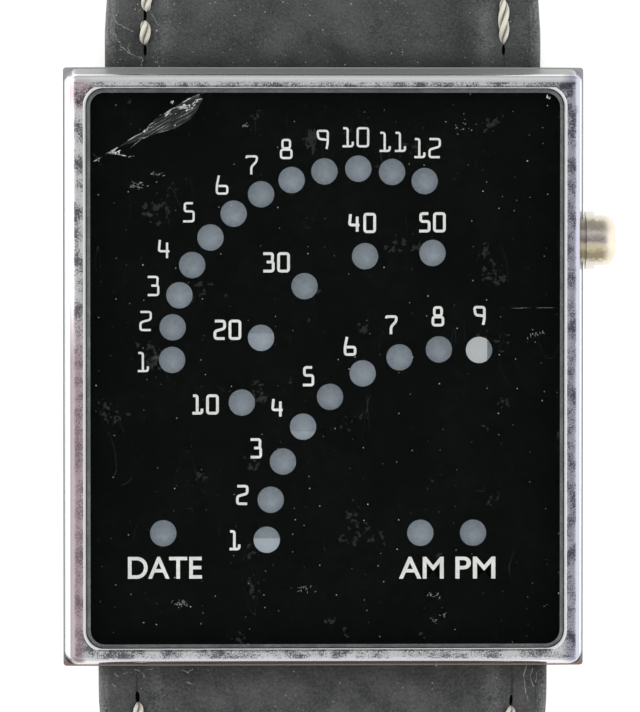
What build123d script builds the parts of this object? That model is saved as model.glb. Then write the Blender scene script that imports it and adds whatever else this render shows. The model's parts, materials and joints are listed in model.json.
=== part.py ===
from build123d import *
import os
from math import cos, radians, sin

# LED wristwatch on an open leather strap, lying on its back. Millimetres.
# The origin is the centre of the case back's outer face, +Z is the way the dial faces, and +Y is 12 o'clock.

# Crystal and the stack under it
crystal_width = 32.1
crystal_length = 37.6
crystal_thick = 1.5
crystal_corner = 1.2
crystal_bevel = 0.24
crystal_gap = 0.07
crystal_proud = 0.1
mask_thick = 0.15
mask_inset = 0.1
diffuser_thick = 0.15
gasket_thick = 0.35
gasket_gap = 0.05
ledge_width = 1.1
module_gap = 0.15

# Light windows: one arc each for the hours, the tens of minutes and the single minutes
window_diameter = 1.78
well_width = 1.95
well_sides = 8
window_sides = 12
hour_centre_x = 2.16
hour_centre_y = 1.46
hour_radius_x = 12.5
hour_radius_y = 12.0
hour_start = 184.3
hour_step = -10.53
hour_count = 12
tens_centre_x = 5.52
tens_centre_y = -3.25
tens_radius = 11.16
tens_start = 175.25
tens_step = -23.58
tens_count = 5
unit_centre_x = 8.89
unit_centre_y = -11.5
unit_radius = 12.81
unit_start = 180.45
unit_step = -12.17
unit_count = 9
date_window_x = -10.91
half_day_window_x = 8.25
half_day_spacing = 3.57
lower_windows_y = -11.15

# Module, from the light baffle down to the cells
emitter_length = 1.6
emitter_width = 0.8
emitter_height = 0.6
emitter_lens = 0.3
emitter_lens_inset = 0.15
baffle_height = 1.3
board_thick = 0.8
chip_size = 5.0
chip_height = 0.85
chip_gap = 0.1
chip_chamfer = 0.2
chip_x = -2.0
chip_y = -1.0
lead_length = 0.7
lead_width = 0.3
lead_thick = 0.2
lead_spacing = 0.8
lead_count = 5
oscillator_diameter = 2.0
oscillator_length = 6.0
oscillator_crimp = 0.3
oscillator_x = 10.9
oscillator_y = -4.5
oscillator_lead_length = 1.6
oscillator_lead_spacing = 0.9
oscillator_lead_width = 0.3
capacitor_length = 1.6
capacitor_width = 0.8
capacitor_height = 0.75
capacitor_spacing = 2.4
capacitor_count = 4
capacitor_x = -9.0
web_thick = 0.3
bay_margin = 1.6
cell_diameter = 20.0
cell_thick = 1.6
cell_cap_diameter = 17.4
cell_cap_height = 0.22
cell_bevel = 0.25
cell_well_gap = 0.15
cell_centre_x = -2.0
leaf_thick = 0.15
leaf_gap = 0.1
leaf_width = 3.0
leaf_y = 5.0
leaf_reach = 4.2
clip_thick = 0.2
clip_width = 6.0
clip_foot = 1.2
clip_slot_gap = 0.15
clip_end_gap = 0.4
film_thick = 0.1
film_inset = 0.3

# Case
lip_width = 35.4
lip_length = 40.7
lip_height = 0.3
lip_proud = 0.25
lip_groove_height = 0.14
lip_groove_depth = 0.16
upper_draft = 6.5
upper_corner = 0.95
rim_chamfer = 0.18
shoulder_radius = 0.42
case_corner = 0.5
lip_corner = 0.22
lower_draft = 2.5
lower_bevel = 0.2
back_proud = 0.4
opening_corner = 1.0
cavity_corner = 4.4
cavity_end_wall = 2.9
recess_wall = 1.2
recess_side_wall = 1.35
recess_corner = 1.6
roof_wall = 0.9

# Case back, its seal and its screws
back_thick = 1.2
back_gap = 0.1
back_chamfer = 0.25
seal_inset = 0.25
seal_width = 0.6
seal_groove_depth = 0.45
seal_gap = 0.03
screw_inset = 1.35
screw_thread_diameter = 1.0
thread_sides = 8
screw_head_diameter = 2.1
screw_length = 3.2
screw_hole_gap = 0.1
screw_recess = 0.08
screw_slot_width = 0.3
screw_slot_depth = 0.25
screw_seat_gap = 0.02

# Spring bars
bar_inset = 2.75
bar_z = 2.9
bar_diameter = 1.8
bar_bore_diameter = 1.24
bar_end_gap = 0.2
bar_crimp = 0.35
pivot_diameter = 0.8
pivot_gap = 0.04
pivot_reach = 1.0
pivot_hole_extra = 0.2
pivot_shank_length = 6.0
pivot_shank_gap = 0.04
pivot_head_gap = 0.05

# Pusher in the right-hand wall
pusher_y = 8.6
pusher_z = 5.0
collar_flange_diameter = 4.0
collar_flange_thick = 0.6
collar_gap = 0.15
collar_body_diameter = 3.2
collar_recess_depth = 0.45
collar_recess_gap = 0.05
button_diameter = 3.45
button_height = 1.45
button_round = 0.85
button_inset = 0.05
button_travel = 0.4
stem_diameter = 1.0
stem_gap = 0.03
stem_inner_reach = 0.95
spring_chamber_diameter = 2.4
spring_chamber_depth = 1.5
spring_wire = 0.22
wire_sides = 4
spring_turns = 3
spring_gap = 0.03
seal_chamber_diameter = 1.8
collar_end_wall = 0.35
o_ring_section = 0.36
ring_sides = 6
o_ring_gap = 0.02
o_ring_spacing = 0.65
clip_ring_diameter = 2.0
clip_ring_thick = 0.2
clip_ring_gap = 0.05
clip_groove_diameter = 0.7
switch_gap = 0.1
switch_thick = 0.15
switch_width = 2.0
switch_foot = 1.4
switch_drop = 2.6
notch_width = 4.4

# Strap leather
strap_width = 30.2
strap_narrow_width = 26.4
strap_side_gap = 0.25
strap_thick = 2.2
leather_fold = 1.1
leather_bore_gap = 0.05
lining_thick = 0.9
lining_start = 3.0
strap_edge_bevel = 0.35
pocket_gap = 0.25
roof_gap = 0.35
shoulder_run = 5.0
taper_end = 34.0
padding_end = 30.0
padding_share = 1.25
side_edge_share = 0.2
buckle_half_length = 72.0
buckle_blend = 7.0
tail_length = 112.0
tail_rise_run = 24.0
tail_rise = 1.6
tail_crest_run = 52.0
tail_crest = 3.0
tail_fall_run = 84.0
tail_fall = 1.9
tip_length = 14.0
tip_width_share = 0.62
hole_diameter = 2.0
hole_sides = 12
hole_spacing = 6.5
hole_count = 7
hole_end_margin = 24.0

# Keepers: leather loops round the strap
keeper_width = 6.0
keeper_thick = 0.9
keeper_fixed_thick = 1.2
keeper_gap = 0.3
keeper_headroom = 0.5
keeper_corner = 0.4
keeper_bevel = 0.2
keeper_fixed_back = 12.0
keeper_free_back = 30.0

# Buckle
buckle_bar_diameter = 1.5
buckle_bar_gap = 0.06
buckle_fold = 1.0
buckle_arm_width = 2.3
buckle_thick = 1.9
buckle_side_gap = 0.3
buckle_ear = 1.7
buckle_reach = 8.0
buckle_crossbar = 3.0
buckle_corner = 1.54
buckle_bevel = 0.3
buckle_bar_hold = 1.5
buckle_flat_run = 2.2
tongue_width = 2.4
tongue_shank_width = 1.9
tongue_wall = 0.75
tongue_thick = 1.2
tongue_side_gap = 0.3
tongue_rest_gap = 0.06
tongue_tip_over = 0.5
tongue_slot_length = 8.0

overrun = 5.0

# Heights worked out from the stack
seat_z = back_thick
film_top_z = seat_z + film_thick
clip_top_z = film_top_z + clip_thick
cells_top_z = clip_top_z + 2 * cell_thick
web_z = cells_top_z + leaf_thick + leaf_gap
loop_radius = bar_diameter / 2 + leather_bore_gap + leather_fold
pocket_roof_z = bar_z + loop_radius + roof_gap
stack_top_z = web_z + web_thick + chip_height + chip_gap
floor_z = max(pocket_roof_z + roof_wall, stack_top_z)
board_top_z = floor_z + board_thick
diffuser_z = board_top_z + baffle_height
mask_z = diffuser_z + diffuser_thick
ledge_z = mask_z - gasket_thick
crystal_z = mask_z + mask_thick
crystal_top_z = crystal_z + crystal_thick
rim_z = crystal_top_z - crystal_proud

# Plan places worked out from the case
opening_width = crystal_width - 2 * ledge_width
opening_length = crystal_length - 2 * ledge_width
module_width = opening_width - 2 * module_gap
module_length = opening_length - 2 * module_gap
bar_y = lip_length / 2 - bar_inset
pocket_wall_y = bar_y - loop_radius - pocket_gap
pocket_width = strap_width + 2 * strap_side_gap
cavity_length = 2 * (pocket_wall_y - cavity_end_wall)
lower_width = lip_width - 2 * lip_proud
lower_length = lip_length - 2 * lip_proud
recess_width = lower_width - 2 * recess_side_wall
recess_length = 2 * (pocket_wall_y - recess_wall)
back_width = recess_width - 2 * back_gap
back_length = recess_length - 2 * back_gap
seal_inner_width = opening_width + 2 * seal_inset
seal_inner_length = cavity_length + 2 * seal_inset
seal_corner = cavity_corner + seal_inset
screw_x = back_width / 2 - screw_inset
screw_y = back_length / 2 - screw_inset
collar_x = lip_width / 2 + collar_gap
collar_outer_x = collar_x + collar_flange_thick
collar_inner_x = opening_width / 2
recess_floor_x = collar_outer_x - collar_recess_depth
chamber_x = recess_floor_x - spring_chamber_depth
seal_chamber_x = collar_inner_x + collar_end_wall
stem_end_x = collar_inner_x - stem_inner_reach
switch_x = stem_end_x - button_travel - switch_gap
lay_z = keeper_fixed_thick
strap_top_z = lay_z + strap_thick
buckle_bar_y = bar_y + buckle_half_length
buckle_bar_z = lay_z + strap_thick / 2
buckle_loop_radius = buckle_bar_diameter / 2 + buckle_bar_gap + buckle_fold


def arc_places(centre_x, centre_y, radius_x, radius_y, start, step, count):
    """Places at an even step along an elliptical arc."""
    angles = [radians(start + step * index) for index in range(count)]
    return [(centre_x + radius_x * cos(turn), centre_y + radius_y * sin(turn)) for turn in angles]


window_places = [
    *arc_places(
        hour_centre_x, hour_centre_y, hour_radius_x, hour_radius_y, hour_start, hour_step, hour_count
    ),
    *arc_places(tens_centre_x, tens_centre_y, tens_radius, tens_radius, tens_start, tens_step, tens_count),
    *arc_places(unit_centre_x, unit_centre_y, unit_radius, unit_radius, unit_start, unit_step, unit_count),
    (date_window_x, lower_windows_y),
    (half_day_window_x - half_day_spacing / 2, lower_windows_y),
    (half_day_window_x + half_day_spacing / 2, lower_windows_y),
]
pusher_plane = Plane(origin=(0, pusher_y, pusher_z), x_dir=(1, 0, 0), z_dir=(0, -1, 0))
pusher_axis = Axis((0, pusher_y, pusher_z), (1, 0, 0))
os.makedirs("parts", exist_ok=True)


def save(part, name):
    """Label a finished piece and write it as its own STEP file."""
    part.label = name
    export_step(part, f"parts/{name}.step")


# Case body: flared upper walls over a lip, a drafted lower body, cavities, strap pockets and bores
with BuildPart() as case_body:
    with BuildSketch(Plane.XY.offset(pocket_roof_z)):
        RectangleRounded(lower_width, lower_length, case_corner)
    extrude(amount=-(pocket_roof_z - back_proud), taper=lower_draft)
    underside = case_body.faces().sort_by(Axis.Z)[0]
    chamfer(underside.edges(), length=lower_bevel)
    with BuildSketch(Plane.XY.offset(pocket_roof_z)):
        RectangleRounded(lip_width, lip_length, lip_corner)
    extrude(amount=lip_height)
    with BuildSketch(Plane.XY.offset(pocket_roof_z + lip_height)):
        RectangleRounded(lip_width - 2 * lip_groove_depth, lip_length - 2 * lip_groove_depth, case_corner)
    extrude(amount=lip_groove_height)
    upper_z = pocket_roof_z + lip_height + lip_groove_height
    with BuildSketch(Plane.XY.offset(upper_z)):
        RectangleRounded(lip_width - lip_groove_depth, lip_length - lip_groove_depth, upper_corner)
    extrude(amount=rim_z - upper_z, taper=upper_draft)
    rim = case_body.faces().sort_by(Axis.Z)[-1]
    fillet(rim.edges(), radius=shoulder_radius)
    # Crystal seat, upper cavity for the board and lower cavity for the cells
    with BuildSketch(Plane.XY.offset(ledge_z)):
        RectangleRounded(crystal_width + 2 * crystal_gap, crystal_length + 2 * crystal_gap, crystal_corner)
    extrude(amount=rim_z - ledge_z, mode=Mode.SUBTRACT)
    rim = case_body.faces().sort_by(Axis.Z)[-1]
    chamfer(rim.inner_wires().edges(), length=rim_chamfer)
    with BuildSketch(Plane.XY.offset(floor_z)):
        RectangleRounded(opening_width, opening_length, opening_corner)
    extrude(amount=ledge_z - floor_z, mode=Mode.SUBTRACT)
    with BuildSketch(Plane.XY.offset(seat_z)):
        RectangleRounded(opening_width, cavity_length, cavity_corner)
    extrude(amount=floor_z - seat_z, mode=Mode.SUBTRACT)
    # Recess for the back plate, with a groove for its seal and four tapped holes
    with BuildSketch(Plane.XY.offset(back_proud)):
        RectangleRounded(recess_width, recess_length, recess_corner)
    extrude(amount=seat_z - back_proud, mode=Mode.SUBTRACT)
    with BuildSketch(Plane.XY.offset(seat_z)):
        RectangleRounded(
            seal_inner_width + 2 * seal_width, seal_inner_length + 2 * seal_width, seal_corner + seal_width
        )
        RectangleRounded(seal_inner_width, seal_inner_length, seal_corner, mode=Mode.SUBTRACT)
    extrude(amount=seal_groove_depth, mode=Mode.SUBTRACT)
    with BuildSketch(Plane.XY.offset(seat_z)):
        with GridLocations(2 * screw_x, 2 * screw_y, 2, 2):
            RegularPolygon(radius=screw_thread_diameter / 2, side_count=thread_sides, major_radius=False)
    extrude(amount=screw_length, mode=Mode.SUBTRACT)
    # A pocket under each end takes the strap, between cheeks that hold the spring bar
    for side in (1, -1):
        with BuildSketch(Plane.XY.offset(pocket_roof_z)):
            with Locations((0, side * (pocket_wall_y + lip_length / 2))):
                Rectangle(pocket_width, lip_length)
        extrude(amount=-(pocket_roof_z + overrun), mode=Mode.SUBTRACT)
        with BuildSketch(Plane.YZ):
            with Locations((side * bar_y, bar_z)):
                Circle(pivot_diameter / 2 + pivot_gap)
        extrude(
            amount=pocket_width / 2 + pivot_reach + pivot_hole_extra, both=True, mode=Mode.SUBTRACT
        )
    # Bore for the pusher collar through the right-hand wall
    with BuildSketch(Plane.YZ.offset(opening_width / 2 - overrun)):
        with Locations((pusher_y, pusher_z)):
            Circle(collar_body_diameter / 2)
    extrude(amount=2 * overrun, mode=Mode.SUBTRACT)
save(case_body.part, "case_body")

# Crystal with its ground edge bevel
with BuildPart() as crystal:
    with BuildSketch(Plane.XY.offset(crystal_z)):
        RectangleRounded(crystal_width, crystal_length, crystal_corner)
    extrude(amount=crystal_thick)
    chamfer(crystal.faces().sort_by(Axis.Z)[-1].edges(), length=crystal_bevel)
save(crystal.part, "crystal")

# Black mask under the crystal, open at each window
with BuildPart() as dial_mask:
    with BuildSketch(Plane.XY.offset(mask_z)):
        RectangleRounded(crystal_width - 2 * mask_inset, crystal_length - 2 * mask_inset, crystal_corner)
        with Locations(*window_places):
            RegularPolygon(radius=window_diameter / 2, side_count=window_sides, mode=Mode.SUBTRACT)
    extrude(amount=mask_thick)
save(dial_mask.part, "dial_mask")

# Flat seal between the mask's border and the case ledge
with BuildPart() as crystal_gasket:
    with BuildSketch(Plane.XY.offset(ledge_z)):
        RectangleRounded(crystal_width - 2 * gasket_gap, crystal_length - 2 * gasket_gap, crystal_corner)
        RectangleRounded(opening_width, opening_length, opening_corner, mode=Mode.SUBTRACT)
    extrude(amount=gasket_thick)
save(crystal_gasket.part, "crystal_gasket")

# Translucent sheet behind the windows
with BuildPart() as window_diffuser:
    with BuildSketch(Plane.XY.offset(diffuser_z)):
        RectangleRounded(module_width, module_length, opening_corner)
    extrude(amount=diffuser_thick)
save(window_diffuser.part, "window_diffuser")

# Moulded block with one light well over each emitter
with BuildPart() as light_baffle:
    with BuildSketch(Plane.XY.offset(board_top_z)):
        RectangleRounded(module_width, module_length, opening_corner)
        with Locations(*window_places):
            RegularPolygon(
                radius=well_width / 2, side_count=well_sides, major_radius=False, mode=Mode.SUBTRACT
            )
    extrude(amount=baffle_height)
save(light_baffle.part, "light_baffle")

# Emitters: a small base and a narrower lens each
with BuildPart() as led_emitters:
    with BuildSketch(Plane.XY.offset(board_top_z)):
        with Locations(*window_places):
            Rectangle(emitter_length, emitter_width)
    extrude(amount=emitter_height - emitter_lens)
    with BuildSketch(Plane.XY.offset(board_top_z + emitter_height - emitter_lens)):
        with Locations(*window_places):
            Rectangle(emitter_length - 4 * emitter_lens_inset, emitter_width - 2 * emitter_lens_inset)
    extrude(amount=emitter_lens)
save(led_emitters.part, "led_emitters")

# Printed board on the case floor
with BuildPart() as circuit_board:
    with BuildSketch(Plane.XY.offset(floor_z)):
        RectangleRounded(module_width, module_length, opening_corner)
    extrude(amount=board_thick)
save(circuit_board.part, "circuit_board")

# Driver circuit under the board, with a row of leads on two sides
with BuildPart() as driver_chip:
    with BuildSketch(Plane.XY.offset(floor_z)):
        with Locations((chip_x, chip_y)):
            Rectangle(chip_size, chip_size)
    extrude(amount=-chip_height)
    chamfer(driver_chip.faces().sort_by(Axis.Z)[0].edges(), length=chip_chamfer)
    with BuildSketch(Plane.XY.offset(floor_z)):
        with Locations((chip_x, chip_y)):
            with GridLocations(chip_size + lead_length, lead_spacing, 2, lead_count):
                Rectangle(lead_length, lead_width)
    extrude(amount=-lead_thick)
save(driver_chip.part, "driver_chip")

# Cylindrical quartz can lying under the board, with its two leads bent up to it
with BuildPart() as quartz_oscillator:
    can_z = floor_z - oscillator_diameter / 2
    can_start_y = oscillator_y - oscillator_length / 2
    with BuildSketch(Plane.XZ.offset(-can_start_y)):
        with Locations((oscillator_x, can_z)):
            Circle(oscillator_diameter / 2)
    extrude(amount=-oscillator_length)
    chamfer(quartz_oscillator.edges().filter_by(GeomType.CIRCLE), length=oscillator_crimp)
    lead_y = can_start_y + oscillator_length + oscillator_lead_length
    with BuildSketch(Plane.XZ.offset(-can_start_y - oscillator_length)):
        with Locations((oscillator_x, can_z)):
            with GridLocations(oscillator_lead_spacing, 0, 2, 1):
                Rectangle(oscillator_lead_width, oscillator_lead_width)
    extrude(amount=-oscillator_lead_length)
    with BuildSketch(Plane.XY.offset(can_z)):
        with Locations((oscillator_x, lead_y)):
            with GridLocations(oscillator_lead_spacing, 0, 2, 1):
                Rectangle(oscillator_lead_width, oscillator_lead_width)
    extrude(amount=floor_z - can_z)
save(quartz_oscillator.part, "quartz_oscillator")

# Chip capacitors in a row under the board
with BuildPart() as board_capacitors:
    with BuildSketch(Plane.XY.offset(floor_z)):
        with Locations((capacitor_x, chip_y)):
            with GridLocations(0, capacitor_spacing, 1, capacitor_count):
                Rectangle(capacitor_length, capacitor_width)
    extrude(amount=-capacitor_height)
save(board_capacitors.part, "board_capacitors")

# Moulded holder: cell well from below, component bay from above, notch for the pusher
well_radius = cell_diameter / 2 + cell_well_gap
well_edge_x = cell_centre_x + well_radius
clip_arm_x = well_edge_x + clip_slot_gap
clip_start_x = cell_centre_x - cell_diameter / 2 + clip_end_gap
holder_length = cavity_length - 2 * module_gap
with BuildPart() as module_frame:
    with BuildSketch(Plane.XY.offset(film_top_z)):
        RectangleRounded(module_width, holder_length, cavity_corner - module_gap)
    extrude(amount=floor_z - film_top_z)
    with BuildSketch(Plane.XY.offset(film_top_z)):
        with Locations((cell_centre_x, 0)):
            Circle(well_radius)
    extrude(amount=web_z - film_top_z, mode=Mode.SUBTRACT)
    # Bay for the chip and the capacitors, open to the board
    with BuildSketch(Plane.XY.offset(web_z + web_thick)):
        with Locations((cell_centre_x, 0)):
            Rectangle(cell_diameter - 2 * bay_margin, cell_diameter - 4 * bay_margin)
    extrude(amount=floor_z - web_z - web_thick, mode=Mode.SUBTRACT)
    # Trough for the quartz can and its leads
    with BuildSketch(Plane.XY.offset(floor_z)):
        with Locations((oscillator_x, oscillator_y + oscillator_lead_length / 2)):
            Rectangle(
                oscillator_diameter + 2 * module_gap,
                oscillator_length + oscillator_lead_length + 4 * module_gap,
            )
    extrude(amount=-(oscillator_diameter + module_gap), mode=Mode.SUBTRACT)
    # Notch for the pusher's inner end and the switch leaf
    with BuildSketch(Plane.XY.offset(floor_z)):
        with Locations((switch_x - switch_foot - module_gap + overrun, pusher_y)):
            Rectangle(2 * overrun, notch_width)
    extrude(amount=-(floor_z - pusher_z + collar_body_diameter), mode=Mode.SUBTRACT)
    # Channel and slot for the positive clip
    with BuildSketch(Plane.XY.offset(film_top_z)):
        with Locations(((cell_centre_x + clip_arm_x + clip_thick + clip_slot_gap) / 2, 0)):
            Rectangle(
                clip_arm_x + clip_thick + clip_slot_gap - cell_centre_x, clip_width + 2 * clip_slot_gap
            )
    extrude(amount=clip_thick + clip_slot_gap, mode=Mode.SUBTRACT)
    with BuildSketch(Plane.XY.offset(film_top_z)):
        with Locations((clip_arm_x + clip_thick / 2, 0)):
            Rectangle(clip_thick + 2 * clip_slot_gap, clip_width + 2 * clip_slot_gap)
    extrude(amount=floor_z - film_top_z, mode=Mode.SUBTRACT)
    with BuildSketch(Plane.XY.offset(floor_z)):
        with Locations((clip_arm_x + clip_thick / 2 + clip_foot / 2, 0)):
            Rectangle(clip_foot + clip_thick + 2 * clip_slot_gap, clip_width + 2 * clip_slot_gap)
    extrude(amount=-(clip_thick + clip_slot_gap), mode=Mode.SUBTRACT)
    # Window in the web for the negative leaf
    with BuildSketch(Plane.XY.offset(web_z)):
        with Locations((cell_centre_x, leaf_y)):
            Rectangle(leaf_width + 2 * clip_slot_gap, leaf_reach + 2 * clip_slot_gap)
    extrude(amount=floor_z - web_z, mode=Mode.SUBTRACT)
save(module_frame.part, "module_frame")


def coin_cell(base_z):
    """A coin cell: rounded can with a narrower cap on its upper side."""
    with BuildPart() as cell:
        with BuildSketch(Plane.XY.offset(base_z)):
            with Locations((cell_centre_x, 0)):
                Circle(cell_diameter / 2)
        extrude(amount=cell_thick - cell_cap_height)
        chamfer(cell.edges().filter_by(GeomType.CIRCLE).sort_by(Axis.Z)[0], length=cell_bevel)
        with BuildSketch(Plane.XY.offset(base_z + cell_thick - cell_cap_height)):
            with Locations((cell_centre_x, 0)):
                Circle(cell_cap_diameter / 2)
        extrude(amount=cell_cap_height)
    return cell.part


save(coin_cell(clip_top_z), "battery_cell_lower")
save(coin_cell(clip_top_z + cell_thick), "battery_cell_upper")

# Negative leaf: pad on the upper cell, a riser through the web and a foot on the board
with BuildPart() as contact_negative:
    with BuildSketch(Plane.YZ.offset(cell_centre_x - leaf_width / 2)):
        with BuildLine():
            leaf_line = Polyline(
                (leaf_y - leaf_reach / 2, cells_top_z + leaf_thick / 2),
                (leaf_y, cells_top_z + leaf_thick / 2),
                (leaf_y + leaf_reach / 4, floor_z - leaf_thick / 2),
                (leaf_y + leaf_reach / 2, floor_z - leaf_thick / 2),
            )
            offset(leaf_line, amount=leaf_thick / 2, kind=Kind.INTERSECTION)
        make_face()
    extrude(amount=leaf_width)
save(contact_negative.part, "contact_negative")

# Positive clip: strip under the lower cell with an arm up to the board
with BuildPart() as contact_positive:
    with BuildSketch(Plane.XZ.offset(-clip_width / 2)):
        with BuildLine():
            Polyline(
                (clip_start_x, film_top_z),
                (clip_arm_x + clip_thick, film_top_z),
                (clip_arm_x + clip_thick, floor_z - clip_thick),
                (clip_arm_x + clip_foot, floor_z - clip_thick),
                (clip_arm_x + clip_foot, floor_z),
                (clip_arm_x, floor_z),
                (clip_arm_x, clip_top_z),
                (clip_start_x, clip_top_z),
                close=True,
            )
        make_face()
    extrude(amount=clip_width)
save(contact_positive.part, "contact_positive")

# Film between the clip and the back plate
with BuildPart() as insulator_film:
    with BuildSketch(Plane.XY.offset(seat_z)):
        RectangleRounded(
            opening_width - 2 * film_inset, cavity_length - 2 * film_inset, cavity_corner - film_inset
        )
    extrude(amount=film_thick)
save(insulator_film.part, "insulator_film")

# Back plate with four countersunk holes
with BuildPart() as case_back:
    with BuildSketch():
        RectangleRounded(back_width, back_length, recess_corner - back_gap)
    extrude(amount=back_thick)
    chamfer(case_back.faces().sort_by(Axis.Z)[0].edges(), length=back_chamfer)
    with Locations(Plane.XY.rotated((180, 0, 0))):
        with GridLocations(2 * screw_x, 2 * screw_y, 2, 2):
            CounterSinkHole(
                radius=screw_thread_diameter / 2 + screw_hole_gap,
                counter_sink_radius=screw_head_diameter / 2 + screw_hole_gap,
                depth=back_thick,
                counter_sink_angle=90,
            )
save(case_back.part, "case_back")

# Seal in the groove round the cavity
with BuildPart() as case_back_gasket:
    with BuildSketch(Plane.XY.offset(seat_z)):
        RectangleRounded(
            seal_inner_width + 2 * (seal_width - seal_gap),
            seal_inner_length + 2 * (seal_width - seal_gap),
            seal_corner + seal_width - seal_gap,
        )
        RectangleRounded(
            seal_inner_width + 2 * seal_gap,
            seal_inner_length + 2 * seal_gap,
            seal_corner + seal_gap,
            mode=Mode.SUBTRACT,
        )
    extrude(amount=seal_groove_depth - seal_gap)
save(case_back_gasket.part, "case_back_gasket")

# Four countersunk screws with a plain slot
head_z = screw_recess
screw_radius = screw_thread_diameter / 2 - screw_seat_gap
head_radius = screw_head_diameter / 2
cone_height = head_radius - screw_radius
with BuildPart() as case_back_screws:
    with Locations(Plane.XY.offset(head_z)):
        with GridLocations(2 * screw_x, 2 * screw_y, 2, 2):
            Cone(
                bottom_radius=head_radius,
                top_radius=screw_radius,
                height=cone_height,
                align=(Align.CENTER, Align.CENTER, Align.MIN),
            )
            Cylinder(
                radius=screw_radius, height=screw_length, align=(Align.CENTER, Align.CENTER, Align.MIN)
            )
    with BuildSketch(Plane.XY.offset(head_z)):
        with GridLocations(2 * screw_x, 2 * screw_y, 2, 2):
            Rectangle(2 * head_radius, screw_slot_width)
    extrude(amount=screw_slot_depth, mode=Mode.SUBTRACT)
save(case_back_screws.part, "case_back_screws")


# Pusher collar: flange outside, spring chamber, seal chamber and stem hole
with BuildPart() as pusher_collar:
    with BuildSketch(pusher_plane):
        Polygon(
            (collar_inner_x, stem_diameter / 2 + stem_gap),
            (seal_chamber_x, stem_diameter / 2 + stem_gap),
            (seal_chamber_x, seal_chamber_diameter / 2),
            (chamber_x, seal_chamber_diameter / 2),
            (chamber_x, spring_chamber_diameter / 2),
            (recess_floor_x, spring_chamber_diameter / 2),
            (recess_floor_x, button_diameter / 2 + collar_recess_gap),
            (collar_outer_x, button_diameter / 2 + collar_recess_gap),
            (collar_outer_x, collar_flange_diameter / 2),
            (collar_x, collar_flange_diameter / 2),
            (collar_x, collar_body_diameter / 2),
            (collar_inner_x, collar_body_diameter / 2),
            align=None,
        )
    revolve(axis=pusher_axis)
save(pusher_collar.part, "pusher_collar")

# Domed button with its stem, grooved near the end for the clip
button_base_x = collar_outer_x - button_inset
button_top_x = collar_outer_x + button_height
clip_ring_x = collar_inner_x - clip_ring_gap - clip_ring_thick
with BuildPart() as pusher_button:
    with BuildSketch(pusher_plane) as button_profile:
        Polygon(
            (stem_end_x, 0),
            (stem_end_x, stem_diameter / 2),
            (clip_ring_x, stem_diameter / 2),
            (clip_ring_x, clip_groove_diameter / 2),
            (clip_ring_x + clip_ring_thick, clip_groove_diameter / 2),
            (clip_ring_x + clip_ring_thick, stem_diameter / 2),
            (button_base_x, stem_diameter / 2),
            (button_base_x, button_diameter / 2),
            (button_top_x, button_diameter / 2),
            (button_top_x, 0),
            align=None,
        )
        crown = button_profile.vertices().group_by(Axis.X)[-1].sort_by(Axis.Y)[-1]
        fillet(crown, radius=button_round)
    revolve(axis=pusher_axis)
save(pusher_button.part, "pusher_button")

# Return spring round the stem, between the chamber's floor and the button
spring_radius = (spring_chamber_diameter - spring_wire) / 2 - spring_gap
spring_start_x = chamber_x + spring_wire / 2 + spring_gap
spring_run = button_base_x - spring_wire / 2 - spring_gap - spring_start_x
with BuildPart() as pusher_spring:
    with BuildLine():
        coil = Helix(
            pitch=spring_run / spring_turns,
            height=spring_run,
            radius=spring_radius,
            center=(spring_start_x, pusher_y, pusher_z),
            direction=(1, 0, 0),
        )
    with BuildSketch(Plane(origin=coil @ 0, z_dir=coil % 0)):
        RegularPolygon(radius=spring_wire / 2, side_count=wire_sides)
    sweep(is_frenet=True)
save(pusher_spring.part, "pusher_spring")

# Two O-rings on the stem
o_ring_x = (seal_chamber_x + chamber_x) / 2
with BuildPart() as pusher_seals:
    for place in (-o_ring_spacing / 2, o_ring_spacing / 2):
        with BuildSketch(pusher_plane):
            with Locations((o_ring_x + place, stem_diameter / 2 + o_ring_gap + o_ring_section / 2)):
                RegularPolygon(radius=o_ring_section / 2, side_count=ring_sides)
        revolve(axis=pusher_axis)
save(pusher_seals.part, "pusher_seals")

# Open clip in the stem's groove
with BuildPart() as pusher_clip:
    with BuildSketch(Plane.YZ.offset(clip_ring_x)):
        with Locations((pusher_y, pusher_z)):
            Circle(clip_ring_diameter / 2)
            Circle(clip_groove_diameter / 2, mode=Mode.SUBTRACT)
        with Locations((pusher_y, pusher_z - clip_ring_diameter / 2)):
            Rectangle(clip_groove_diameter, clip_ring_diameter, mode=Mode.SUBTRACT)
    extrude(amount=clip_ring_thick)
save(pusher_clip.part, "pusher_clip")

# Switch leaf hanging from the board in front of the stem
with BuildPart() as switch_leaf:
    with BuildSketch(Plane.XZ.offset(-pusher_y - switch_width / 2)):
        with BuildLine():
            Polyline(
                (switch_x, floor_z),
                (switch_x, floor_z - switch_drop),
                (switch_x - switch_thick, floor_z - switch_drop),
                (switch_x - switch_thick, floor_z - switch_thick),
                (switch_x - switch_foot, floor_z - switch_thick),
                (switch_x - switch_foot, floor_z),
                close=True,
            )
        make_face()
    extrude(amount=switch_width)
save(switch_leaf.part, "switch_leaf")


# Spring bars: a crimped tube each, with a sliding pivot at both ends
tube_half = pocket_width / 2 - bar_end_gap
head_end_x = tube_half - bar_crimp - pivot_head_gap
pivot_end_x = pocket_width / 2 + pivot_reach


def bar_plane(side):
    """Plane through a spring bar's axis, with its own x along the bar."""
    return Plane(origin=(0, side * bar_y, bar_z), x_dir=(1, 0, 0), z_dir=(0, -1, 0))


def bar_axis(side):
    """Axis of the spring bar at 12 o'clock (side 1) or 6 o'clock (side -1)."""
    return Axis((0, side * bar_y, bar_z), (1, 0, 0))


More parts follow.
